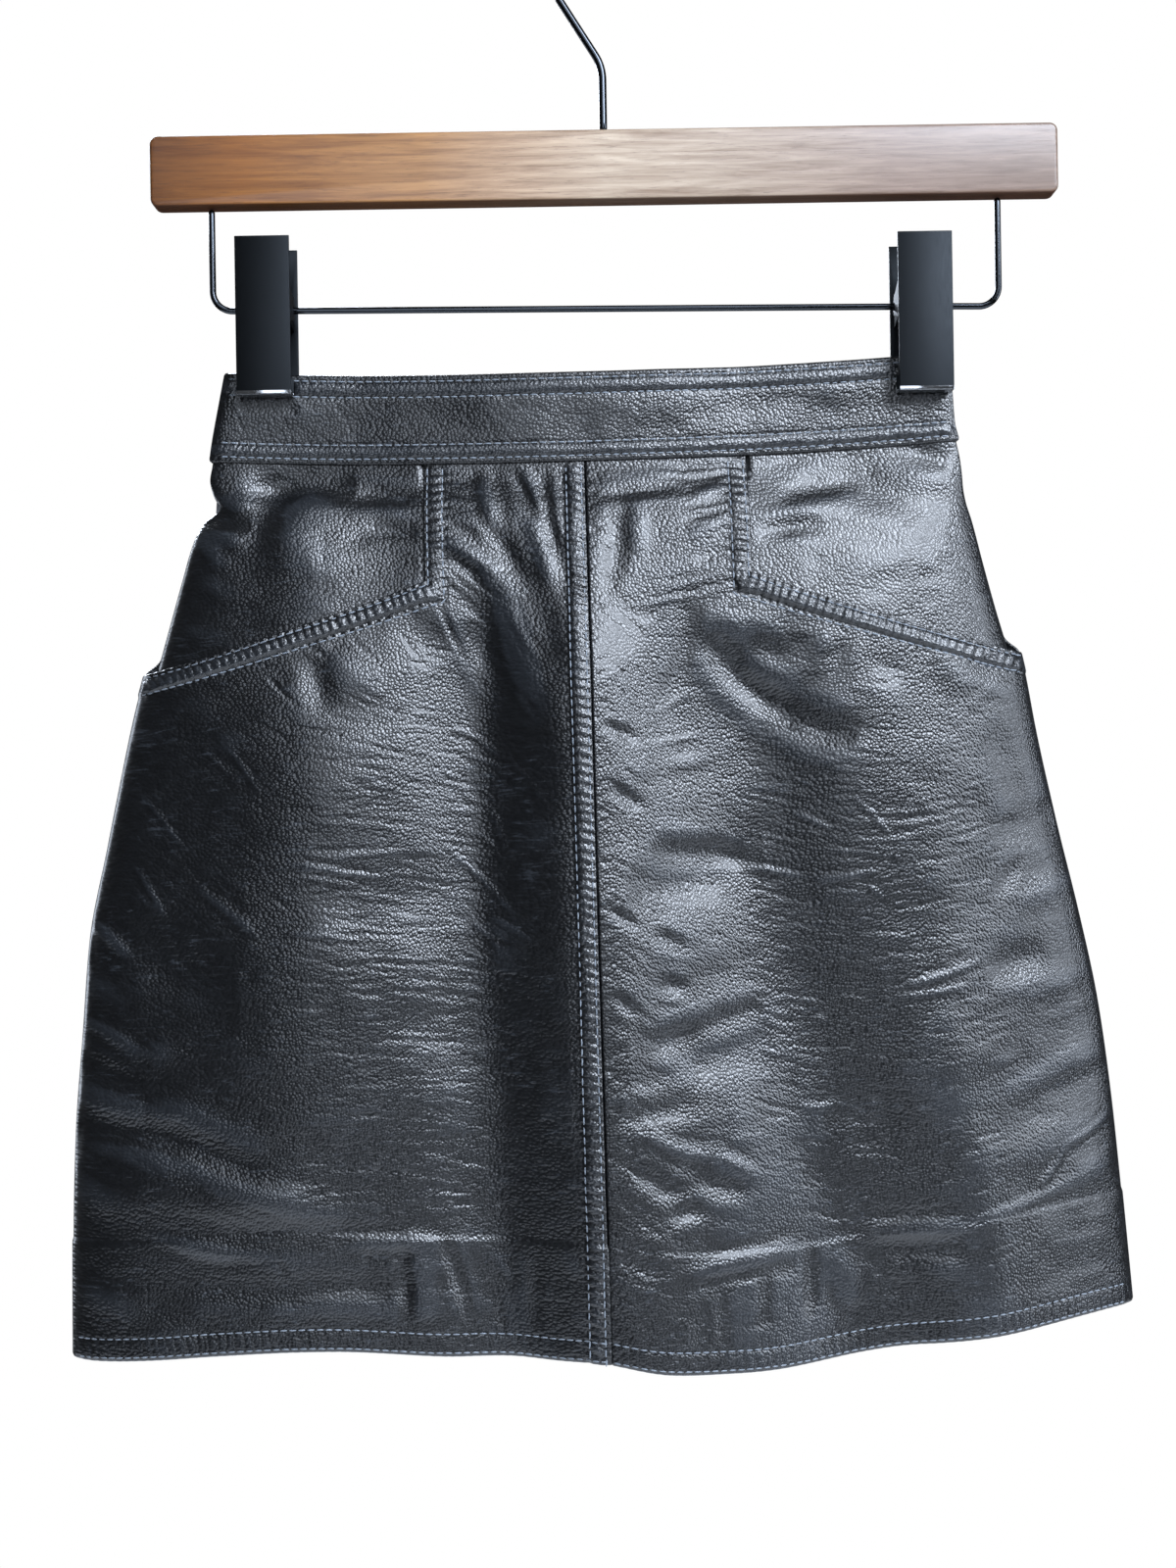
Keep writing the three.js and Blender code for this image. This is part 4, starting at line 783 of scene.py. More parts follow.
def scatter_wrinkles(relief, fields, rng):
    for x0, x1, d0, d1, count, short, long, left, right, half, depth in fields:
        for _ in range(count):
            s, length = rng.random(), short + (long - short) * rng.random() ** 1.6
            x, drop = mix(x0, x1, s), rng.uniform(d0, d1)
            slope = math.radians(mix(left, right, s) + rng.normal(0, 5))
            dx, dd = math.cos(slope) * length / 2, math.sin(slope) * length / 2
            wide = half * rng.uniform(0.75, 1.5)
            deep = -depth * rng.uniform(0.5, 1.4)
            relief.crease(
                x - dx, drop - dd, x + dx, drop + dd, wide, deep, rng.normal(0, 0.05) * length, 0.55)


# Rows of stitches, as distances from the edge that they follow
ROW_NEAR, ROW_FAR = 1.8, 8.2
BAND_ROWS = (2.8, 9.5, 29.8, 35.8)
HEM_ROWS = (1.8, 9.5)
ZIP_ROW, ZIP_ROW_END = 9.0, 190.0
HEM_FROM = 300

# Puckers between two rows: how far apart, height, slant, how far they run on past the second row
PUCKERS = {
    "hem": (3.8, 0.5, 0.2, 3.0),
    "centre_left": (3.9, 0.95, 0.35, 3.5),
    "centre_right": (5.6, 0.3, 0.5, 7.0),
    "yoke": (4.2, 0.9, 0.2, 5.0),
    "mouth": (3.7, 0.9, 0.35, 3.0),
    "zip": (4.6, 0.35, 0.3, 4.0),
    "back_seam": (5.2, 0.22, 0.4, 4.0),
    "band": (2.7, 0.5, 0.7, 2.0),
}
RIGHT_MOUTH, MOUTH_RUN, MOUTH_STRETCH = 1.5, 115, 1.06

# How deep the thread pulls the leather in, and how high it swells between two rows
HEM_PULL, CENTRE_PULL, POCKET_PULL, ZIP_PULL, BAND_PULL = 0.22, 0.38, 0.45, 0.25, 0.4
CENTRE_PUFF, MOUTH_PUFF, BAND_PUFF = 0.35, 0.8, 0.8
MOUTH_BEAD, BEAD_BACK, BEAD_HALF = 0.6, 1.1, 0.9

# Unevenness that no crease accounts for: size, height and stretch
UNEVEN = ((34, 0.35, 1.0), (13, 0.16, 1.4), (5, 0.07, 1.6))
CREASE_LIPS = 0.25

# The clips press the waistband flat: their middles, half their width and height, and how far in
CLIP_AT = (-134.6, 145.5)
CLIP_HALF, CLIP_LOW, CLIP_FADE, CLIP_PRESS = 10, 15, 4, -0.35


def ladder(along, across, width, kind, rng):
    """Puckers that cross the strip between two rows of stitches, and die out past the second row."""
    pitch, height, slant, beyond = PUCKERS[kind]
    size = np.interp(along, np.linspace(-240, 440, 120), 0.55 + 0.45 * rng.random(120))
    drift = np.interp(along, np.linspace(-240, 440, 80), rng.normal(0, 0.16, 80))
    phase = along / pitch + slant * across / pitch + drift
    wave = np.abs(np.cos(np.pi * phase)) ** 0.8 - 0.6
    inside = smooth(-0.4, 1.4, across) * (1 - smooth(width, width + beyond, across))
    return height * size * wave * inside


def puff(across, width, height):
    """The leather swells between two rows of stitches."""
    return height * np.sin(np.pi * np.clip(across / width, 0, 1)) ** 0.8


def groove(across, depth, half=0.75):
    return -depth * bell(across, half)


def front_seams(x, drop, rng):
    """Puckers and stitch lines of the centre seam and of the L-shaped pocket edges."""
    size = np.abs(x)
    below_band = smooth(BAND_HEIGHT, BAND_HEIGHT + 1.5, drop)
    centre = ladder(drop, -x, ROW_FAR, "centre_left", rng)
    centre += puff(-x - ROW_NEAR, ROW_FAR - ROW_NEAR, CENTRE_PUFF)
    seams = centre * (x <= 0) * below_band
    seams += ladder(drop, x, 3.0, "centre_right", rng) * (x > 0) * below_band
    line = mouth_drop(mouth_share(x, drop))
    beside = YOKE_X - size
    upper = (drop < YOKE_CORNER + ROW_FAR + 3) & (beside > 0)
    fade_low = 1 - smooth(YOKE_CORNER - 2, YOKE_CORNER + ROW_FAR, drop)
    seams += np.where(upper, ladder(drop, beside, ROW_FAR, "yoke", rng), 0) * fade_low * below_band
    past = (drop - line) * math.cos(math.atan((MOUTH_END - YOKE_CORNER) / MOUTH_RUN))
    mouth = ladder(size * MOUTH_STRETCH, past, ROW_FAR, "mouth", rng) * np.where(x > 0, RIGHT_MOUTH, 1.0)
    mouth += puff(past - ROW_NEAR, ROW_FAR - ROW_NEAR, MOUTH_PUFF)
    mouth += MOUTH_BEAD * bell(past - ROW_FAR + BEAD_BACK, BEAD_HALF)
    seams += mouth * smooth(YOKE_X - ROW_FAR, YOKE_X, size)
    for row in (ROW_NEAR, ROW_FAR):
        seams += groove(-x - row, CENTRE_PULL) * below_band
        seams += groove(np.maximum(beside, past) - row, POCKET_PULL) * below_band * (drop < 150)
    return seams


def back_seams(x, drop, rng):
    """Puckers and stitch lines beside the zip, and the puckers of the seam below it."""
    size = np.abs(x)
    beside_zip = (drop < ZIP_ROW_END) * smooth(BAND_HEIGHT, BAND_HEIGHT + 1.5, drop)
    seams = ladder(drop, size - ZIP_GAP, ZIP_ROW - ZIP_GAP, "zip", rng) * beside_zip
    seams += groove(size - ZIP_ROW, ZIP_PULL) * beside_zip
    return seams + ladder(drop, size, 4.0, "back_seam", rng) * (drop >= ZIP_ROW_END)


def make_relief(side, creases, fields, seed):
    rng = np.random.default_rng(seed)
    relief = ReliefMap()
    for step, height, stretch in UNEVEN:
        relief.soften(rng, step, height, stretch)
    for crease in creases:
        relief.crease(*crease, CREASE_LIPS)
    scatter_wrinkles(relief, fields, rng)
    x, drop = relief.x, relief.drop
    up = hem_drop(x) - drop
    seams = ladder(x, up, HEM_ROWS[1], "hem", rng) * (drop > HEM_FROM)
    for row in HEM_ROWS:
        seams += groove(up - row, HEM_PULL)
    seams += (front_seams if side == "front" else back_seams)(x, drop, rng)
    on_band = drop < BAND_HEIGHT
    for near, far in (BAND_ROWS[:2], BAND_ROWS[2:]):
        strip = ladder(x, drop - near, far - near, "band", rng) + puff(drop - near, far - near, BAND_PUFF)
        strip += groove(drop - near, BAND_PULL) + groove(drop - far, BAND_PULL)
        seams += np.where(on_band, strip, 0)
    for pressed in CLIP_AT:
        held = (1 - smooth(CLIP_HALF, CLIP_HALF + CLIP_FADE, np.abs(x - pressed)))
        held *= 1 - smooth(CLIP_LOW, CLIP_LOW + CLIP_FADE, drop)
        seams = mix(seams, CLIP_PRESS, held)
        relief.height *= 1 - held
    relief.height += seams
    return relief


# Skins: where the leather's face lies, with everything on it

SEAM_ROLL = LEATHER / 2


def face(side, x, drop, offset, gap=SEAM_GAP / 2 + SEAM_ROLL):
    """Points of a leather face, kept on their own side of the side seams, and their base normals."""
    angle = angle_at(x, drop)
    n = normal(side, angle, drop)
    p = base(side, angle, drop) + n * offset[..., None]
    lean = lean_at(angle, drop)
    p[..., 1] = np.minimum(p[..., 1], lean - gap) if side == "front" else np.maximum(p[..., 1], lean + gap)
    return p, n


def fine_relief(relief, x, drop):
    """The fine relief, which dies out at the side seams."""
    return relief.at(x, drop) * (1 - smooth(0.985, 1.0, np.abs(x) / np.abs(side_x(x, drop))))


def front_offset(relief, x, drop):
    strip = FELL_RAISE * (1 - smooth(FELL_WIDTH, FELL_WIDTH + FELL_STEP, np.abs(x))) * (x < 0)
    from_band = smooth(BAND_HEIGHT, BAND_HEIGHT + 6, drop)
    return (pocket_lift(x, drop) + strip * from_band + HEM_PRINT * hem_print(x, drop)
            + fine_relief(relief, x, drop))


def back_offset(relief, x, drop):
    below = drop - MOUTH_END
    share = mouth_share(x, drop)
    side = MOUTH_SIDE_LIFT * share ** 12 * np.where(below > 0, bell(below, MOUTH_REACH), bell(below, 5.0))
    return side + HEM_PRINT * hem_print(x, drop) + fine_relief(relief, x, drop)


def band_offset(relief, x, drop):
    return BAND_PROUD + fine_relief(relief, x, drop)


def wall(x, drop):
    """The leather's thickness, doubled where the hem is turned up."""
    return LEATHER + (HEM_EXTRA + HEM_PRINT) * hem_print(x, drop)


def skirt_to_row(points):
    """Skirt millimetres to the row frame's metres."""
    c, s = math.cos(SKIRT_TIP), math.sin(SKIRT_TIP)
    x, y, z = points[..., 0], points[..., 1], points[..., 2]
    turned = np.stack([x * c - z * s, y, x * s + z * c], -1)
    return (turned + SKIRT_AT) * MM


# Sewing the leather pieces

ROLL_STEPS = 4
# How strongly the crests that stand out are painted with highlight
CREST_HIGHLIGHT_GAIN = 1.1


def open_edges(has):
    """The cell sides with no neighbour, each as two grid corners in order and its cell."""
    padded = np.pad(has, 1)
    i, j = np.nonzero(has)
    found = []
    sides = (((-1, 0), (0, 1), (0, 0)), ((1, 0), (1, 0), (1, 1)),
             ((0, -1), (0, 0), (1, 0)), ((0, 1), (1, 1), (0, 1)))
    for (di, dj), p, q in sides:
        bare = ~padded[i + 1 + di, j + 1 + dj]
        a, b = i[bare], j[bare]
        found.append(np.stack([a + p[0], b + p[1], a + q[0], b + q[1], a, b], -1))
    return np.concatenate(found)


def edgewards(points, normals, edges, rim):
    """Directions at the rim's points, along the leather and away from it."""
    middle = (points[:-1, :-1] + points[1:, 1:] + points[1:, :-1] + points[:-1, 1:]) / 4
    towards = ((points[edges[:, 0], edges[:, 1]] + points[edges[:, 2], edges[:, 3]]) / 2
               - middle[edges[:, 4], edges[:, 5]])
    towards /= np.maximum(np.linalg.norm(towards, axis=1, keepdims=True), 1e-9)
    outwards = np.zeros(points.shape)
    for a, b in ((0, 1), (2, 3)):
        np.add.at(outwards, (edges[:, a], edges[:, b]), towards)
    n, e = normals[rim], outwards[rim]
    e -= n * (e * n).sum(1, keepdims=True)
    return e / np.maximum(np.linalg.norm(e, axis=1, keepdims=True), 1e-9)


def inside_faces(inner, has, rim, rows_in, columns_in):
    """Large faces of the inside, which keep every point that they share with the rim."""
    faces = []
    for i0, i1 in zip(rows_in[:-1], rows_in[1:]):
        for j0, j1 in zip(columns_in[:-1], columns_in[1:]):
            if not has[i0, j0]:
                continue
            loop = [(i0, j) for j in range(j0, j1)] + [(i, j1) for i in range(i0, i1)]
            loop += [(i1, j) for j in range(j1, j0, -1)] + [(i, j0) for i in range(i1, i0, -1)]
            corners = {(i0, j0), (i0, j1), (i1, j0), (i1, j1)}
            rim_rows = {i for i in (i0, i1) if rim[i, j0:j1 + 1].all()}
            rim_columns = {j for j in (j0, j1) if rim[i0:i1 + 1, j].all()}
            faces.append(tuple(
                int(inner[i, j]) for i, j in loop if (i, j) in corners or i in rim_rows or j in rim_columns))
    return faces


def sew(name, points, normals, thickness, has, rows_in, columns_in, finishes, crest_highlight=None):
    """A closed leather wall: fine face, rolled edges and a plainer inside.

    rows_in and columns_in are the rows and columns of the face that the inside keeps.
    """
    rows, columns = points.shape[:2]
    used = np.zeros((rows, columns), bool)
    for di in (0, 1):
        for dj in (0, 1):
            used[di:rows - 1 + di, dj:columns - 1 + dj] |= has
    number = np.full((rows, columns), -1)
    number[used] = np.arange(used.sum())
    verts = [points[used]]
    count = int(used.sum())
    i, j = np.nonzero(has)
    quads = np.stack([number[i, j], number[i + 1, j], number[i + 1, j + 1], number[i, j + 1]], -1)
    edges = open_edges(has)
    p, q = (edges[:, 0], edges[:, 1]), (edges[:, 2], edges[:, 3])
    rim = np.zeros((rows, columns), bool)
    rim[p] = rim[q] = True
    away = edgewards(points, normals, edges, rim)
    r = (thickness[rim] / 2)[:, None]
    ring = number
    roll = []
    for k in range(1, ROLL_STEPS + 1):
        turn = math.pi * k / ROLL_STEPS
        before, ring = ring, np.full((rows, columns), -1)
        ring[rim] = count + np.arange(rim.sum())
        verts.append(points[rim] + away * r * math.sin(turn) - normals[rim] * r * (1 - math.cos(turn)))
        roll.append(np.stack([before[q], before[p], ring[p], ring[q]], -1))
        count += int(rim.sum())
    kept = np.zeros((rows, columns), bool)
    kept[np.ix_(rows_in, columns_in)] = True
    kept &= used & ~rim
    ring[kept] = count + np.arange(kept.sum())
    verts.append(points[kept] - normals[kept] * thickness[kept][:, None])
    verts = np.concatenate(verts)
    outside = [tuple(face_loop) for face_loop in np.concatenate([quads, *roll]).tolist()]
    loops = outside + inside_faces(ring, has, rim, rows_in, columns_in)
    a, b, c = (verts[quads[:, k]] for k in (0, 1, 2))
    if np.cross(b - a, c - b).sum(0) @ normals[used].sum(0) < 0:
        loops = [face_loop[::-1] for face_loop in loops]
    mesh = bpy.data.meshes.new(name)
    mesh.from_pydata(skirt_to_row(verts).tolist(), [], loops)
    for finish in finishes:
        mesh.materials.append(finish)
    slots = np.zeros(len(loops), np.int32)
    slots[len(outside):] = 1
    mesh.polygons.foreach_set("material_index", slots)
    mesh.polygons.foreach_set("use_smooth", np.ones(len(loops), bool))
    # each point's share of painted highlight on the crests; 0.5 paints none
    values = np.full(len(verts), 0.5, np.float32)
    if crest_highlight is not None:
        values[:int(used.sum())] = crest_highlight[used]
    layer = mesh.attributes.new("crest_highlight", "FLOAT", "POINT")
    layer.data.foreach_set("value", values)
    mesh.validate()
    mesh.update()
    return mesh


def crest_highlight_values(height, rows_wide=6):
    """How far each point stands above its neighbourhood, about 0.5 where it is level: the share of painted
    highlight on the leather's crests.
    """
    blur = height.copy()
    for _ in range(3):
        padded = np.pad(blur, rows_wide, mode="edge")
        total = np.cumsum(np.cumsum(np.pad(padded, ((1, 0), (1, 0))), 0), 1)
        k = 2 * rows_wide + 1
        blur = (total[k:, k:] - total[:-k, k:] - total[k:, :-k] + total[:-k, :-k]) / k ** 2
    return np.clip(0.5 + (height - blur) * CREST_HIGHLIGHT_GAIN, 0, 1)


def spans(stops):
    """Positions from (position, step) stops: each stretch is filled at its own step."""
    found = [stops[0][0]]
    for (a, step), (b, _) in zip(stops[:-1], stops[1:]):
        n = max(1, round((b - a) / step))
        found += [a + (b - a) * k / n for k in range(1, n + 1)]
    return np.array(found)


def every(count, stride, must=()):
    """Indices 0 to count-1 at a stride, with the last one and those that must be kept."""
    return sorted(set(range(0, count, stride)) | {count - 1} | set(must))


def fold_shares(count):
    """Shares from 0 to 1 that crowd a little towards the side fold."""
    return 1 - (1 - np.linspace(0, 1, count + 1)) ** 1.12


def sew_leather(node_name, x, drop, skin, thickness, relief, finishes,
                strides=(9, 6), must=((), ()), has=None):
    """One cut piece of leather from its face and the face's base normals."""
    rows, columns = drop.shape
    has = np.ones((rows - 1, columns - 1), bool) if has is None else has
    inside = [every(count, stride, kept) for count, stride, kept in zip((rows, columns), strides, must)]
    name = node_name + "_leather"
    crest_highlight = crest_highlight_values(relief.at(x, drop))
    mesh = sew(name, *skin, np.broadcast_to(thickness, drop.shape), has, *inside, finishes, crest_highlight)
    return dressed(name, mesh, node_name)


# The leather's grids: columns and rows of the pieces, and the shares where they crowd
FOLD_COLUMNS, HIP_COLUMNS, BACK_COLUMNS = 152, 92, 140
LOW_ROWS, NEAR_ROWS, NEAR_SHARE = 315, 18, 0.04
HIP_ROWS, BACK_ROWS, BAND_ROWS_DOWN = 96, 330, 46
ZIP_COLUMNS, ZIP_SHARE = 12, 0.055
BAND_CROWD = 1.35
# How far the right front runs on under the left one and how deep, and where every panel starts
TUCK, TUCK_DROP = 3.6, 1.9
TOP_DROP = 37.3
# A little less than half the hem's width, to find the hem's drop by
WIDEST = 227.0
# Hip pieces: how far they run under the panel, their gaps behind it, and the most that they stand out
HIP_START, HIP_UNDER, HIP_BEHIND = 5, 0.2, 0.7
HIP_FAR, HIP_NEAR, HIP_EASE = 9, 0.25, 6


def hem_line(x):
    """The drop of the face's lower edge, where the turned-up hem rolls round."""
    return hem_drop(x) - (LEATHER + HEM_EXTRA + HEM_PRINT) / 2


def make_front(sign, side, relief, finishes):
    """A front panel. The left one laps over the right one, which runs on 3.6 mm under it."""
    inset = SEAM_GAP / 2 + SEAM_ROLL
    start = [(inset, 0.8)] if sign < 0 else [(-TUCK, 1.0), (-1, 0.5), (1, 0.8)]
    fixed = spans(start + [(10, 0.9), (14, 1.6), (56, 1.1), (YOKE_X - inset, 1)])
    shares = fold_shares(FOLD_COLUMNS)[1:]
    f = len(fixed)
    top = spans([(TOP_DROP, 0.85), (YOKE_CORNER + SEAM_ROLL, 1)])
    u = len(top) - 1
    low = np.concatenate([np.linspace(0, NEAR_SHARE, NEAR_ROWS)[:-1], np.linspace(NEAR_SHARE, 1, LOW_ROWS)])
    line = mouth_drop(np.concatenate([np.zeros(f), shares])[None, :]) + SEAM_ROLL
    hem = hem_line(np.concatenate([fixed, mix(YOKE_X, WIDEST, shares)])[None, :] * sign)
    drop = np.concatenate([np.repeat(top[:-1, None], f + len(shares), 1), line + (hem - line) * low[:, None]])
    edge = np.abs(side_x(np.full(drop.shape, sign), drop))
    x = np.concatenate([
        np.repeat(fixed[None, :], len(drop), 0),
        (YOKE_X - inset) + (edge[:, f:] - (YOKE_X - inset)) * shares[None, :]], 1) * sign
    offset = front_offset(relief, x if sign < 0 else np.maximum(x, 0.9), drop)
    if sign > 0:
        offset = offset - TUCK_DROP * smooth(0.7, -0.7, x)
    has = np.ones((len(drop) - 1, f + len(shares) - 1), bool)
    has[:u, f - 1:] = False
    skin = face("front", x, drop, offset)
    return sew_leather(f"front_{side}", x, drop, skin, wall(x, drop), relief, finishes,
                       must=((u,), (f - 1,)), has=has)


def make_hip(sign, side, relief, finishes):
    """A hip piece, which runs on under the front panel beside it and behind the pocket mouth."""
    shares = fold_shares(HIP_COLUMNS)
    levels = np.concatenate([np.linspace(0, 1, HIP_ROWS), [1.04, 1.09, 1.15]])[:, None]
    start = YOKE_X - HIP_START
    line = mouth_drop(shares)[None, :]
    tuck = np.clip((levels - 1) / 0.15, 0, 1)
    above = TOP_DROP + (line - TOP_DROP) * np.minimum(levels, 1)
    drop = np.where(levels <= 1, above, line + tuck * (UNDERLAP - 1))
    edge = np.abs(side_x(np.full(drop.shape, sign), drop))
    x = (start + (edge - start) * shares[None, :]) * sign
    offset = fine_relief(relief, x, drop) * (1 - tuck) - HIP_BEHIND * tuck
    under_panel = front_offset(relief, x, drop) - LEATHER - HIP_UNDER
    offset -= smooth(70.6, 68.8, np.abs(x)) * np.maximum(0, offset - under_panel)
    near_mouth = smooth(HIP_EASE, 0, line - drop)
    offset = np.minimum(offset, mix(HIP_FAR, HIP_NEAR, near_mouth))
    skin = face("front", x, drop, offset)
    return sew_leather(f"hip_{side}", x, drop, skin, LEATHER, relief, finishes, (8, 6))


def make_back(sign, side, relief, finishes):
    """A back panel, beside the zip and then closed in a seam."""
    crowded = np.linspace(0, ZIP_SHARE, ZIP_COLUMNS)[:-1]
    shares = np.concatenate([crowded, ZIP_SHARE + (1 - ZIP_SHARE) * fold_shares(BACK_COLUMNS)])
    hem = hem_line(mix(0, WIDEST, shares)[None, :] * sign)
    drop = TOP_DROP + (hem - TOP_DROP) * np.linspace(0, 1, BACK_ROWS)[:, None]
    edge = np.abs(side_x(np.full(drop.shape, sign), drop))
    near = mix(ZIP_GAP, 0.0, smooth(ZIP_BOTTOM, ZIP_BOTTOM + ZIP_CLOSE, drop)) + SEAM_ROLL
    x = (near + (edge - near) * shares[None, :]) * sign
    skin = face("back", x, drop, back_offset(relief, x, drop))
    return sew_leather(f"back_{side}", x, drop, skin, wall(x, drop), relief, finishes)


def make_band(node_name, side, start, end, count, relief, finishes):
    """A stretch of waistband between two shares of the half width."""
    roll = BAND_THICK / 2
    s = np.linspace(start, end, count)
    half = np.sign(s) * (1 - (1 - np.abs(s)) ** BAND_CROWD)
    drop = np.repeat(np.linspace(roll, BAND_HEIGHT - roll, BAND_ROWS_DOWN)[:, None], count, 1)
    sign = np.where(half == 0, np.sign(start + end), np.sign(half))
    near = ZIP_BAND_GAP + roll if side == "back" else 0.0
    edge = np.abs(side_x(np.broadcast_to(sign, drop.shape), drop))
    x = sign * (near + (edge - near) * np.abs(half))
    skin = face(side, x, drop, band_offset(relief, x, drop), SEAM_GAP / 2 + roll)
    return sew_leather(node_name, x, drop, skin, BAND_THICK, relief, finishes)


# Stitches and the zip's coil

THREAD_LIFT, THREAD_WIDTH, THREAD_FLAT = 0.22, 0.74, 0.8
# Distance from stitch to stitch, and stitch length
BAND_STITCH, SEAM_STITCH, POCKET_STITCH, HEM_STITCH = (3.9, 3.1), (4.2, 3.3), (4.1, 3.3), (3.8, 3.0)
BAND_SKIN_GAP = 2.2
BELOW_BAND = BAND_HEIGHT + 1.2
YOKE_LEAN, CORNER_ROUND = 1.065, 0.86


def bead_tree(name, around, finish):
    """Geometry nodes: one bead at each point, laid along 'along' with its flat side to 'out'."""
    tree = bpy.data.node_groups.new(name, "GeometryNodeTree")
    ports = (("Row", "Geometry", "INPUT"), ("Bead length", "Float", "INPUT"),
             ("Bead width", "Float", "INPUT"), ("Bead height", "Float", "INPUT"),
             ("Beads", "Geometry", "OUTPUT"))
    sockets = {port: tree.interface.new_socket(port, in_out=way, socket_type="NodeSocket" + kind)
               for port, kind, way in ports}
    given = node(tree, "NodeGroupInput")
    along = node(tree, "GeometryNodeInputNamedAttribute", {"data_type": "FLOAT_VECTOR"}, {"Name": "along"})
    out = node(tree, "GeometryNodeInputNamedAttribute", {"data_type": "FLOAT_VECTOR"}, {"Name": "out"})
    lay = node(tree, "FunctionNodeAlignRotationToVector", {"axis": "Z"}, {"Vector": (along, "Attribute")})
    turn = node(tree, "FunctionNodeAlignRotationToVector", {"axis": "X", "pivot_axis": "Z"}, {
        "Rotation": lay, "Vector": (out, "Attribute")})
    ball = node(tree, "GeometryNodeMeshUVSphere", {}, {"Segments": around, "Rings": 5, "Radius": 0.5})
    size = node(tree, "ShaderNodeCombineXYZ", {}, {
        "X": (given, "Bead height"), "Y": (given, "Bead width"), "Z": (given, "Bead length")})
    bead = node(tree, "GeometryNodeTransform", {}, {"Geometry": (ball, "Mesh"), "Scale": size})
    laid = node(tree, "GeometryNodeInstanceOnPoints", {}, {
        "Points": (given, "Row"), "Instance": bead, "Rotation": turn})
    real = node(tree, "GeometryNodeRealizeInstances", {}, {"Geometry": laid})
    shaded = node(tree, "GeometryNodeSetShadeSmooth", {}, {"Geometry": real})
    finished = node(tree, "GeometryNodeSetMaterial", {}, {"Geometry": shaded, "Material": finish})
    node(tree, "NodeGroupOutput", {}, {"Beads": finished})
    return tree, {port: socket.identifier for port, socket in sockets.items()}


def lay_beads(name, points, along, out, tree, keys, size):
    """Beads of a length, width and height at points, kept as one plain mesh that rides on the skirt."""
    mesh = bpy.data.meshes.new(name)
    mesh.from_pydata(skirt_to_row(points).tolist(), [], [])
    for key, values in (("along", along), ("out", out)):
        layer = mesh.attributes.new(key, "FLOAT_VECTOR", "POINT")
        layer.data.foreach_set("vector", np.ascontiguousarray(values, np.float32).ravel())
    seedling = placed(name + "_points", mesh)
    modifier = seedling.modifiers.new("make", "NODES")
    modifier.node_group = tree
    for key, value in zip(("Bead length", "Bead width", "Bead height"), size):
        modifier[keys[key]] = value * MM
    graph = bpy.context.evaluated_depsgraph_get()
    made = bpy.data.meshes.new_from_object(seedling.evaluated_get(graph))
    bpy.data.objects.remove(seedling)
    made.name = name
    piece = placed(name, made)
    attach(piece, BODY)
    return piece


def row_of_points(skin, x, drop, pitch):
    """Stitch centres, directions and outward normals along a path on a skin."""
    p, n = skin(x, drop)
    run = np.concatenate([[0], np.cumsum(np.linalg.norm(np.diff(p, axis=0), axis=1))])
    at = np.arange(pitch / 2, run[-1] - pitch / 2, pitch)

    def along_run(values, where):
        return np.stack([np.interp(where, run, values[:, k]) for k in range(3)], -1)

    out = along_run(n, at)
    out /= np.linalg.norm(out, axis=1, keepdims=True)
    ahead = along_run(p, at + pitch * 0.3) - along_run(p, at - pitch * 0.3)
    return along_run(p, at) + out * THREAD_LIFT, ahead, out


def make_stitches(name, rows, length, tree, keys):
    """The stitches of several rows, as one piece."""
    points, ahead, out = (np.concatenate([row[k] for row in rows]) for k in range(3))
    where = skirt_to_row(points)
    along, outwards = ((skirt_to_row(points + way) - where) / MM for way in (ahead, out))
    size = (length, THREAD_WIDTH, THREAD_WIDTH * THREAD_FLAT)
    return lay_beads(name, points, along, outwards, tree, keys, size)


def corner_row(row, sign, count=260):
    """The path of a stitch row round the L-shaped pocket edge, from the waistband to the side."""
    inner = YOKE_X - row
    turn = mouth_drop(0) + row * YOKE_LEAN * CORNER_ROUND
    down = np.linspace(BELOW_BAND, turn, count // 3)
    share = np.linspace(0, 0.992, count)
    bottom = mouth_drop(share) + row * YOKE_LEAN
    x = inner + (np.abs(side_x(np.full(count, sign), bottom)) - inner) * share
    return (np.concatenate([np.full(count // 3, inner), x[1:]]) * sign,
            np.concatenate([down, bottom[1:]]))


def band_stitches(side, relief):
    def skin(x, drop):
        return face(side, x, drop, band_offset(relief, x, drop), BAND_SKIN_GAP)

    start = 0.0 if side == "front" else ZIP_BAND_GAP + 2.0
    rows = []
    for row in BAND_ROWS:
        drop = np.full(900, row)
        for sign in (-1, 1):
            reach = np.abs(side_x(np.full(900, sign), drop)) * 0.997
            x = sign * (start + (reach - start) * np.linspace(0, 1, 900))
            rows.append(row_of_points(skin, x, drop, BAND_STITCH[0]))
    return rows


def front_stitches(skin):
    rows = []
    for row in (ROW_NEAR, ROW_FAR):
        drop = np.linspace(BELOW_BAND, HEM_DROP - 1.5, 900)
        rows.append(row_of_points(skin, np.full(900, -row), drop, SEAM_STITCH[0]))
        rows += [row_of_points(skin, *corner_row(row, sign), POCKET_STITCH[0]) for sign in (-1, 1)]
    return rows


def zip_stitches(skin):
    drop = np.linspace(BELOW_BAND, ZIP_ROW_END, 500)
    rows = [row_of_points(skin, np.full(500, sign * ZIP_ROW), drop, SEAM_STITCH[0]) for sign in (-1, 1)]
    x = np.linspace(-ZIP_ROW, ZIP_ROW, 60)
    return rows + [row_of_points(skin, x, np.full(60, ZIP_ROW_END), SEAM_STITCH[0])]


def hem_stitches(skin):
    rows = []
    for row in HEM_ROWS:
        for sign in (-1, 1):
            x = sign * np.linspace(0.8, 224, 900)
            drop = hem_drop(x) - row
            keep = np.abs(x) < np.abs(side_x(x, drop)) * 0.995
            rows.append(row_of_points(skin, x[keep], drop[keep], HEM_STITCH[0]))
    return rows


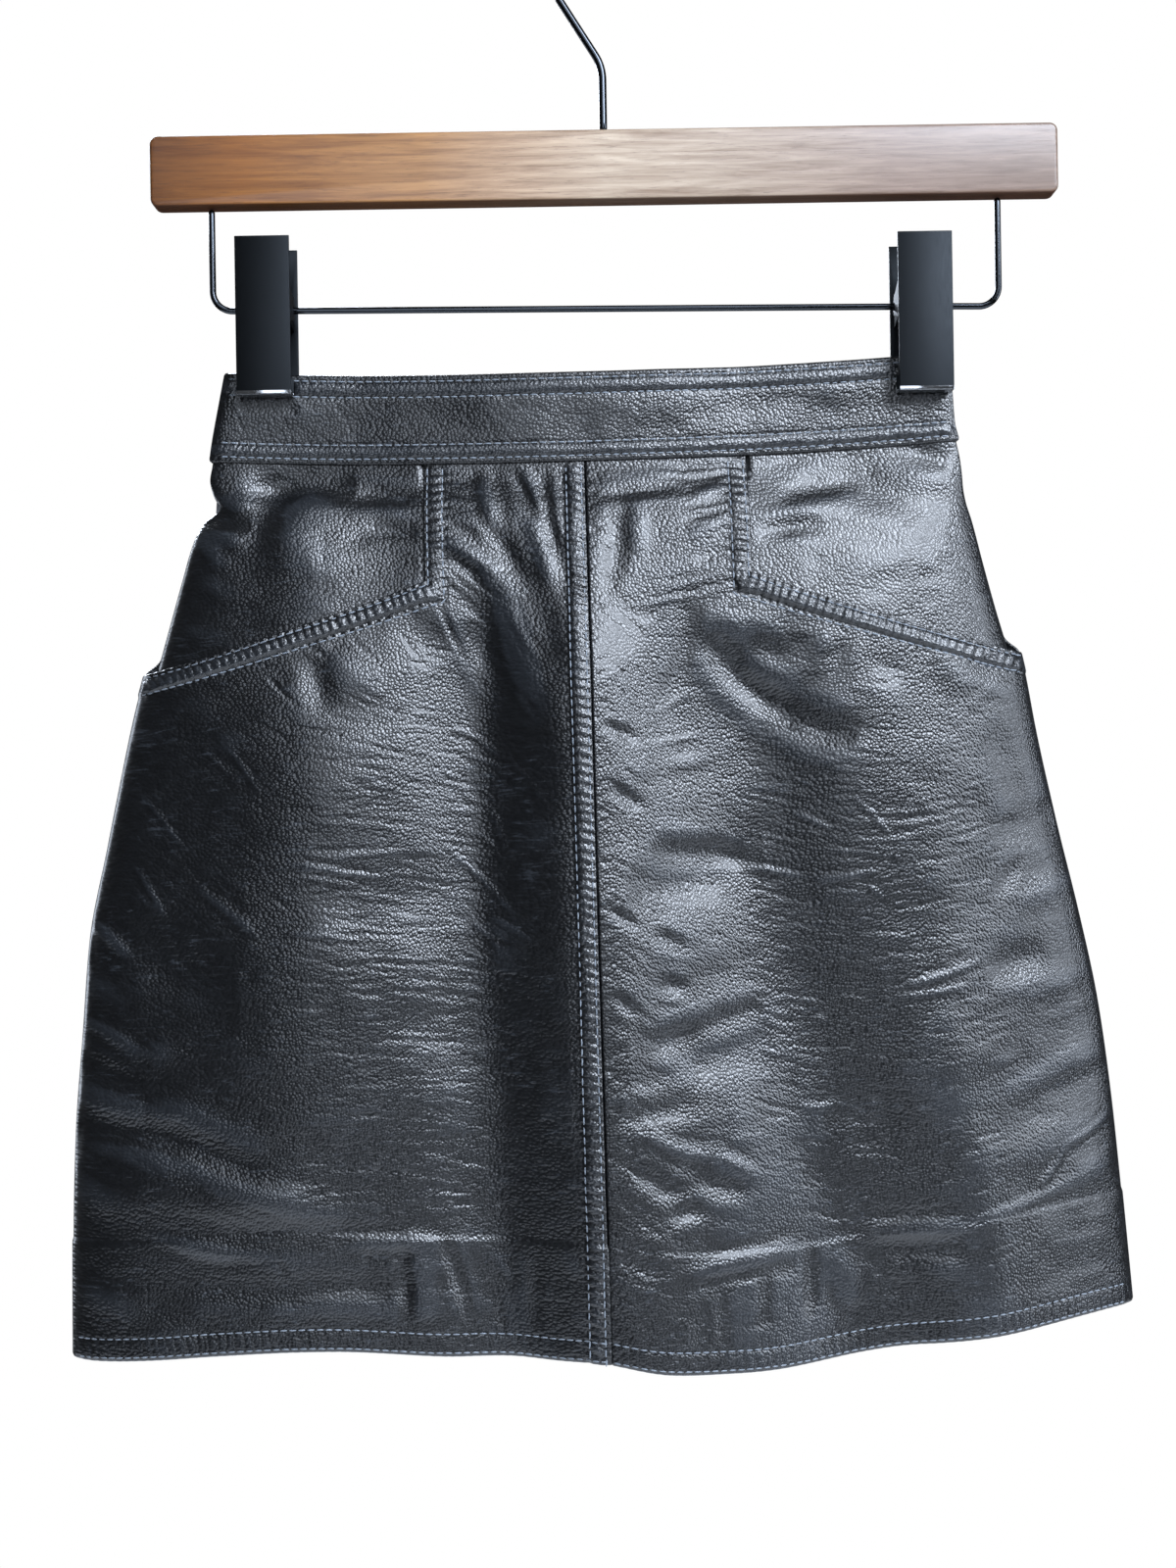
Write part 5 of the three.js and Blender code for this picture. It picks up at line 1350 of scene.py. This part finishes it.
def sew_rows(front, back, thread):
    def front_skin(x, drop):
        return face("front", x, drop, front_offset(front, x, drop))

    def back_skin(x, drop):
        return face("back", x, drop, back_offset(back, x, drop))

    tree, keys = bead_tree("stitch_row", 6, thread)
    made = (
        ("waistband_stitches", band_stitches("front", front) + band_stitches("back", back), BAND_STITCH[1]),
        ("front_seam_stitches", front_stitches(front_skin), SEAM_STITCH[1]),
        ("zip_stitches", zip_stitches(back_skin), SEAM_STITCH[1]),
        ("hem_stitches", hem_stitches(front_skin) + hem_stitches(back_skin), HEM_STITCH[1]),
    )
    return [make_stitches(name, rows, length, tree, keys) for name, rows, length in made]


# The zip

TAPE_HALF, TAPE_DEPTH, TAPE_THICK = 12.0, -2.0, 0.7
TAPE_ROWS, TAPE_COLUMNS = 150, 21
COIL_PITCH, COIL_WIDTH, COIL_WIRE = 1.25, 3.6, 0.9
COIL_RAISE, COIL_SIDE, COIL_SLANT = 0.75, 0.8, 0.16


def make_zip(tape_finish, coil_finish):
    rightwards = np.array([1.0, 0, 0])
    drop = np.linspace(ZIP_TOP, ZIP_BOTTOM, TAPE_ROWS)[:, None]
    across = np.linspace(-TAPE_HALF, TAPE_HALF, TAPE_COLUMNS)[None, :, None]
    centre, out = base("back", 0.0, drop), normal("back", 0.0, drop)
    p = centre + out * TAPE_DEPTH + rightwards * across
    shape = p.shape[:2]
    mesh = sew("zip_tape", p, np.broadcast_to(out, p.shape), np.full(shape, TAPE_THICK),
               np.ones((TAPE_ROWS - 1, TAPE_COLUMNS - 1), bool), every(TAPE_ROWS, 6), every(TAPE_COLUMNS, 4),
               [tape_finish, tape_finish])
    tape = dressed("zip_tape", mesh, "back_zip")
    drops = np.arange(ZIP_TOP + 1, ZIP_BOTTOM - 1, COIL_PITCH / 2)
    side = np.where(np.arange(len(drops)) % 2 == 0, -1.0, 1.0)[:, None]
    centre, out = base("back", 0.0, drops), normal("back", 0.0, drops)
    points = centre + out * (TAPE_DEPTH + COIL_RAISE) + rightwards * side * COIL_SIDE
    along = rightwards + np.array([0, 0, COIL_SLANT]) * side
    tree, keys = bead_tree("zip_coil", 8, coil_finish)
    coil = lay_beads("zip_coil", points, along, out, tree, keys, (COIL_WIDTH, COIL_WIRE, COIL_WIRE))
    return tape, coil


# The hanger

HOOK_WIRE, HOOK_LOOP, HOOK_LEAN, HOOK_BEND, HOOK_END = 3.4, 20.5, 32.0, 20.0, -25.0
BAR_LENGTH, BAR_HEIGHT, BAR_THICK, BAR_TOP = 387.0, 30.0, 12.4, -86.0
CORNER_EASE, RIM_EASE = 3.4, 1.3
RAIL_WIRE, RAIL_HALF, RAIL_Z, RAIL_SLOPE, RAIL_CORNER = 2.8, 168.3, -161.3, -0.0087, 8.4
RAIL_RUN = 150
TOUCH = 0.3
WIRE_SIDES, DOME = 24, (90, 68, 45, 22)
SHARP, SMOOTH_TO = 40, 35
LIP_STRIP = 1.6


def arc(centre, radius, start, end, count):
    a = np.radians(np.linspace(start, end, count))
    return np.stack([centre[0] + radius * np.cos(a), 0 * a, centre[1] + radius * np.sin(a)], -1)


def bent_wire(name, points, diameter, finish, node_name):
    """A round wire along points of the hanger's plane, with domed ends."""
    r = diameter / 2
    ahead = np.gradient(points, axis=0)
    ahead /= np.linalg.norm(ahead, axis=1, keepdims=True)
    first, start, last, end = points[0], ahead[0], points[-1], ahead[-1]
    dome = [math.radians(a) for a in DOME]
    stations = [(first + start * r * (1 - math.sin(a)), start, r * math.cos(a)) for a in dome]
    stations += [(first + start * r, start, r)]
    stations += [(p, t, r) for p, t in zip(points[2:-2], ahead[2:-2])]
    stations += [(last - end * r, end, r)]
    stations += [(last - end * r * (1 - math.sin(a)), end, r * math.cos(a)) for a in reversed(dome)]
    backwards = np.array([0, 1, 0])
    verts = []
    for p, t, radius in stations:
        across = np.cross(backwards, t)
        for a in np.linspace(0, 2 * np.pi, WIRE_SIDES, endpoint=False):
            verts.append(tuple((p + (across * math.cos(a) + backwards * math.sin(a)) * radius) * MM))
    faces = []
    for i in range(len(stations) - 1):
        for j in range(WIRE_SIDES):
            a, b = i * WIRE_SIDES + j, i * WIRE_SIDES + (j + 1) % WIRE_SIDES
            faces.append((a, b, b + WIRE_SIDES, a + WIRE_SIDES))
    mesh = bpy.data.meshes.new(name)
    mesh.from_pydata(verts, [], faces)
    work = bmesh.new()
    work.from_mesh(mesh)
    bmesh.ops.remove_doubles(work, verts=work.verts, dist=1e-6)
    bmesh.ops.holes_fill(work, edges=work.edges)
    bmesh.ops.recalc_face_normals(work, faces=work.faces)
    work.to_mesh(mesh)
    work.free()
    mesh.polygons.foreach_set("use_smooth", [True] * len(mesh.polygons))
    mesh.materials.append(finish)
    return dressed(name, mesh, node_name)


def hook_path():
    centre = (0.0, HOOK_WIRE / 2 - HOOK_LOOP)
    lean = math.radians(HOOK_LEAN)
    leave = (centre[0] - HOOK_LOOP * math.cos(lean), centre[1] - HOOK_LOOP * math.sin(lean))
    meet = leave[1] + leave[0] / math.tan(lean)
    low = (-HOOK_BEND, meet - HOOK_BEND * math.tan(lean / 2))
    shank = np.array([[0, 0, BAR_TOP + up] for up in (TOUCH, 2, 5, 10)])
    return np.concatenate([
        shank, arc(low, HOOK_BEND, 0, HOOK_LEAN, 9), arc(centre, HOOK_LOOP, 180 + HOOK_LEAN, HOOK_END, 64)])


def rail_path():
    top = BAR_TOP - BAR_HEIGHT - TOUCH
    left_z, right_z = RAIL_Z - RAIL_SLOPE * RAIL_HALF, RAIL_Z + RAIL_SLOPE * RAIL_HALF
    left = (-RAIL_HALF + RAIL_CORNER, left_z + RAIL_CORNER)
    right = (RAIL_HALF - RAIL_CORNER, right_z + RAIL_CORNER)
    x = np.linspace(-RAIL_RUN, RAIL_RUN, 13)
    run = np.stack([x, 0 * x, RAIL_Z + RAIL_SLOPE * x], -1)
    down = np.array([[-RAIL_HALF, 0, z] for z in (top, top - 1.5, top - 3, (top + left[1]) / 2)])
    up = np.array([[RAIL_HALF, 0, z] for z in ((top + right[1]) / 2, top - 3, top - 1.5, top)])
    return np.concatenate([
        down, arc(left, RAIL_CORNER, 180, 270, 14), run, arc(right, RAIL_CORNER, 270, 360, 14), up])


def make_bar(finish):
    """The wooden bar: a planed strip with eased corners and edges."""
    block = bmesh.new()
    bmesh.ops.create_cube(block, size=1)
    bmesh.ops.scale(block, vec=(BAR_LENGTH * MM, BAR_THICK * MM, BAR_HEIGHT * MM), verts=block.verts)
    across = [e for e in block.edges if abs(e.verts[0].co.y - e.verts[1].co.y) > 1e-6]
    bmesh.ops.bevel(block, geom=across, offset=CORNER_EASE * MM, segments=6, profile=0.5, affect="EDGES")
    rims = [e for e in block.edges if abs(e.verts[0].co.y - e.verts[1].co.y) < 1e-6]
    bmesh.ops.bevel(block, geom=rims, offset=RIM_EASE * MM, segments=4, profile=0.5, affect="EDGES")
    bmesh.ops.translate(block, vec=(0, 0, (BAR_TOP - BAR_HEIGHT / 2) * MM), verts=block.verts)
    bmesh.ops.recalc_face_normals(block, faces=block.faces)
    mesh = bpy.data.meshes.new("wooden_bar")
    block.to_mesh(mesh)
    block.free()
    mesh.polygons.foreach_set("use_smooth", [True] * len(mesh.polygons))
    mesh.materials.append(finish)
    return dressed("wooden_bar", mesh, "hanger_bar")


def eased_copy(name, node_name, finish, ease, body=BODY):
    """A pressed metal piece: its solid with every sharp edge eased."""
    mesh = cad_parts[node_name].data.copy()
    mesh.name = name
    work = bmesh.new()
    work.from_mesh(mesh)
    bmesh.ops.remove_doubles(work, verts=work.verts, dist=1e-6)
    bmesh.ops.dissolve_limit(work, angle_limit=math.radians(1), verts=work.verts, edges=work.edges)
    sharp = [e for e in work.edges if e.is_manifold and e.calc_face_angle(0) > math.radians(SHARP)]
    bmesh.ops.bevel(
        work, geom=sharp, offset=ease * MM, segments=2, profile=0.5, affect="EDGES", clamp_overlap=True)
    work.to_mesh(mesh)
    work.free()
    mesh.materials.clear()
    mesh.materials.append(finish)
    for polygon in mesh.polygons:
        polygon.material_index = 0
        polygon.use_smooth = True
    mesh.set_sharp_from_angle(angle=math.radians(SMOOTH_TO))
    return dressed(name, mesh, node_name, body)


def bare_lip(plate, finish):
    """The edge of a clip's lip, where the plating is worn to bright metal."""
    mesh = plate.data
    mesh.materials.append(finish)
    line = min(v.co.z for v in mesh.vertices) + LIP_STRIP * MM
    work = bmesh.new()
    work.from_mesh(mesh)
    whole = work.verts[:] + work.edges[:] + work.faces[:]
    bmesh.ops.bisect_plane(work, geom=whole, plane_co=(0, 0, line), plane_no=(0, 0, 1))
    work.to_mesh(mesh)
    work.free()
    for polygon in mesh.polygons:
        if polygon.center.z < line:
            polygon.material_index = 1


# Everything


set_camera()
set_studio()
set_lights()
lay_floor(pale_floor())

leather, flesh, thread = nappa_leather(), flesh_side(), polyester_thread()
front_relief = make_relief("front", FRONT_CREASES, FRONT_FIELDS, 11)
back_relief = make_relief("back", BACK_CREASES, BACK_FIELDS, 23)
both_faces = [leather, flesh]

for hand, side in ((-1, "left"), (1, "right")):
    make_front(hand, side, front_relief, both_faces)
    make_hip(hand, side, front_relief, both_faces)
    make_back(hand, side, back_relief, both_faces)
for node_name, side, start, end, columns, relief, length, area in (
    ("waistband_front", "front", -1, 1, 321, front_relief, 316, 12100),
    ("waistband_back_left", "back", -1, 0, 161, back_relief, 152, 5800),
    ("waistband_back_right", "back", 0, 1, 161, back_relief, 152, 5800),
):
    band = make_band(node_name, side, start, end, columns, relief, both_faces)

for sewn in sew_rows(front_relief, back_relief, thread):
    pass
for piece in make_zip(woven_tape(), nylon_coil()):
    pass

black_nickel = plated("black_nickel_plate", "#1e2022", 0.45, 0.4, 0.52, True)
bright_chrome = plated("bright_chrome", "#c3c6ca", 0.14, 0.08, 0.2, False)
dark_chrome = plated("dark_chrome_wire", "#3c3f43", 0.14, 0.08, 0.18, False)
make_bar(lacquered_hardwood())
for piece in (
    bent_wire("hook_wire", hook_path(), HOOK_WIRE, dark_chrome, "hanger_hook"),
    bent_wire("rail_wire", rail_path(), RAIL_WIRE, dark_chrome, "clip_rail"),
    eased_copy("left_clip_spring", "clip_left_spring", bright_chrome, 0.25),
    eased_copy("right_clip_spring", "clip_right_spring", bright_chrome, 0.25),
):
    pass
for side in ("left", "right"):
    for half in ("front", "back"):
        plate = eased_copy(f"{side}_clip_{half}_plate", f"clip_{side}_{half}", black_nickel, 0.4)
        bare_lip(plate, bright_chrome)
eased_copy("slider", "zip_slider", black_nickel, 0.25)
eased_copy("slider_tab", "zip_pull_tab", black_nickel, 0.2, TAB_BODY)
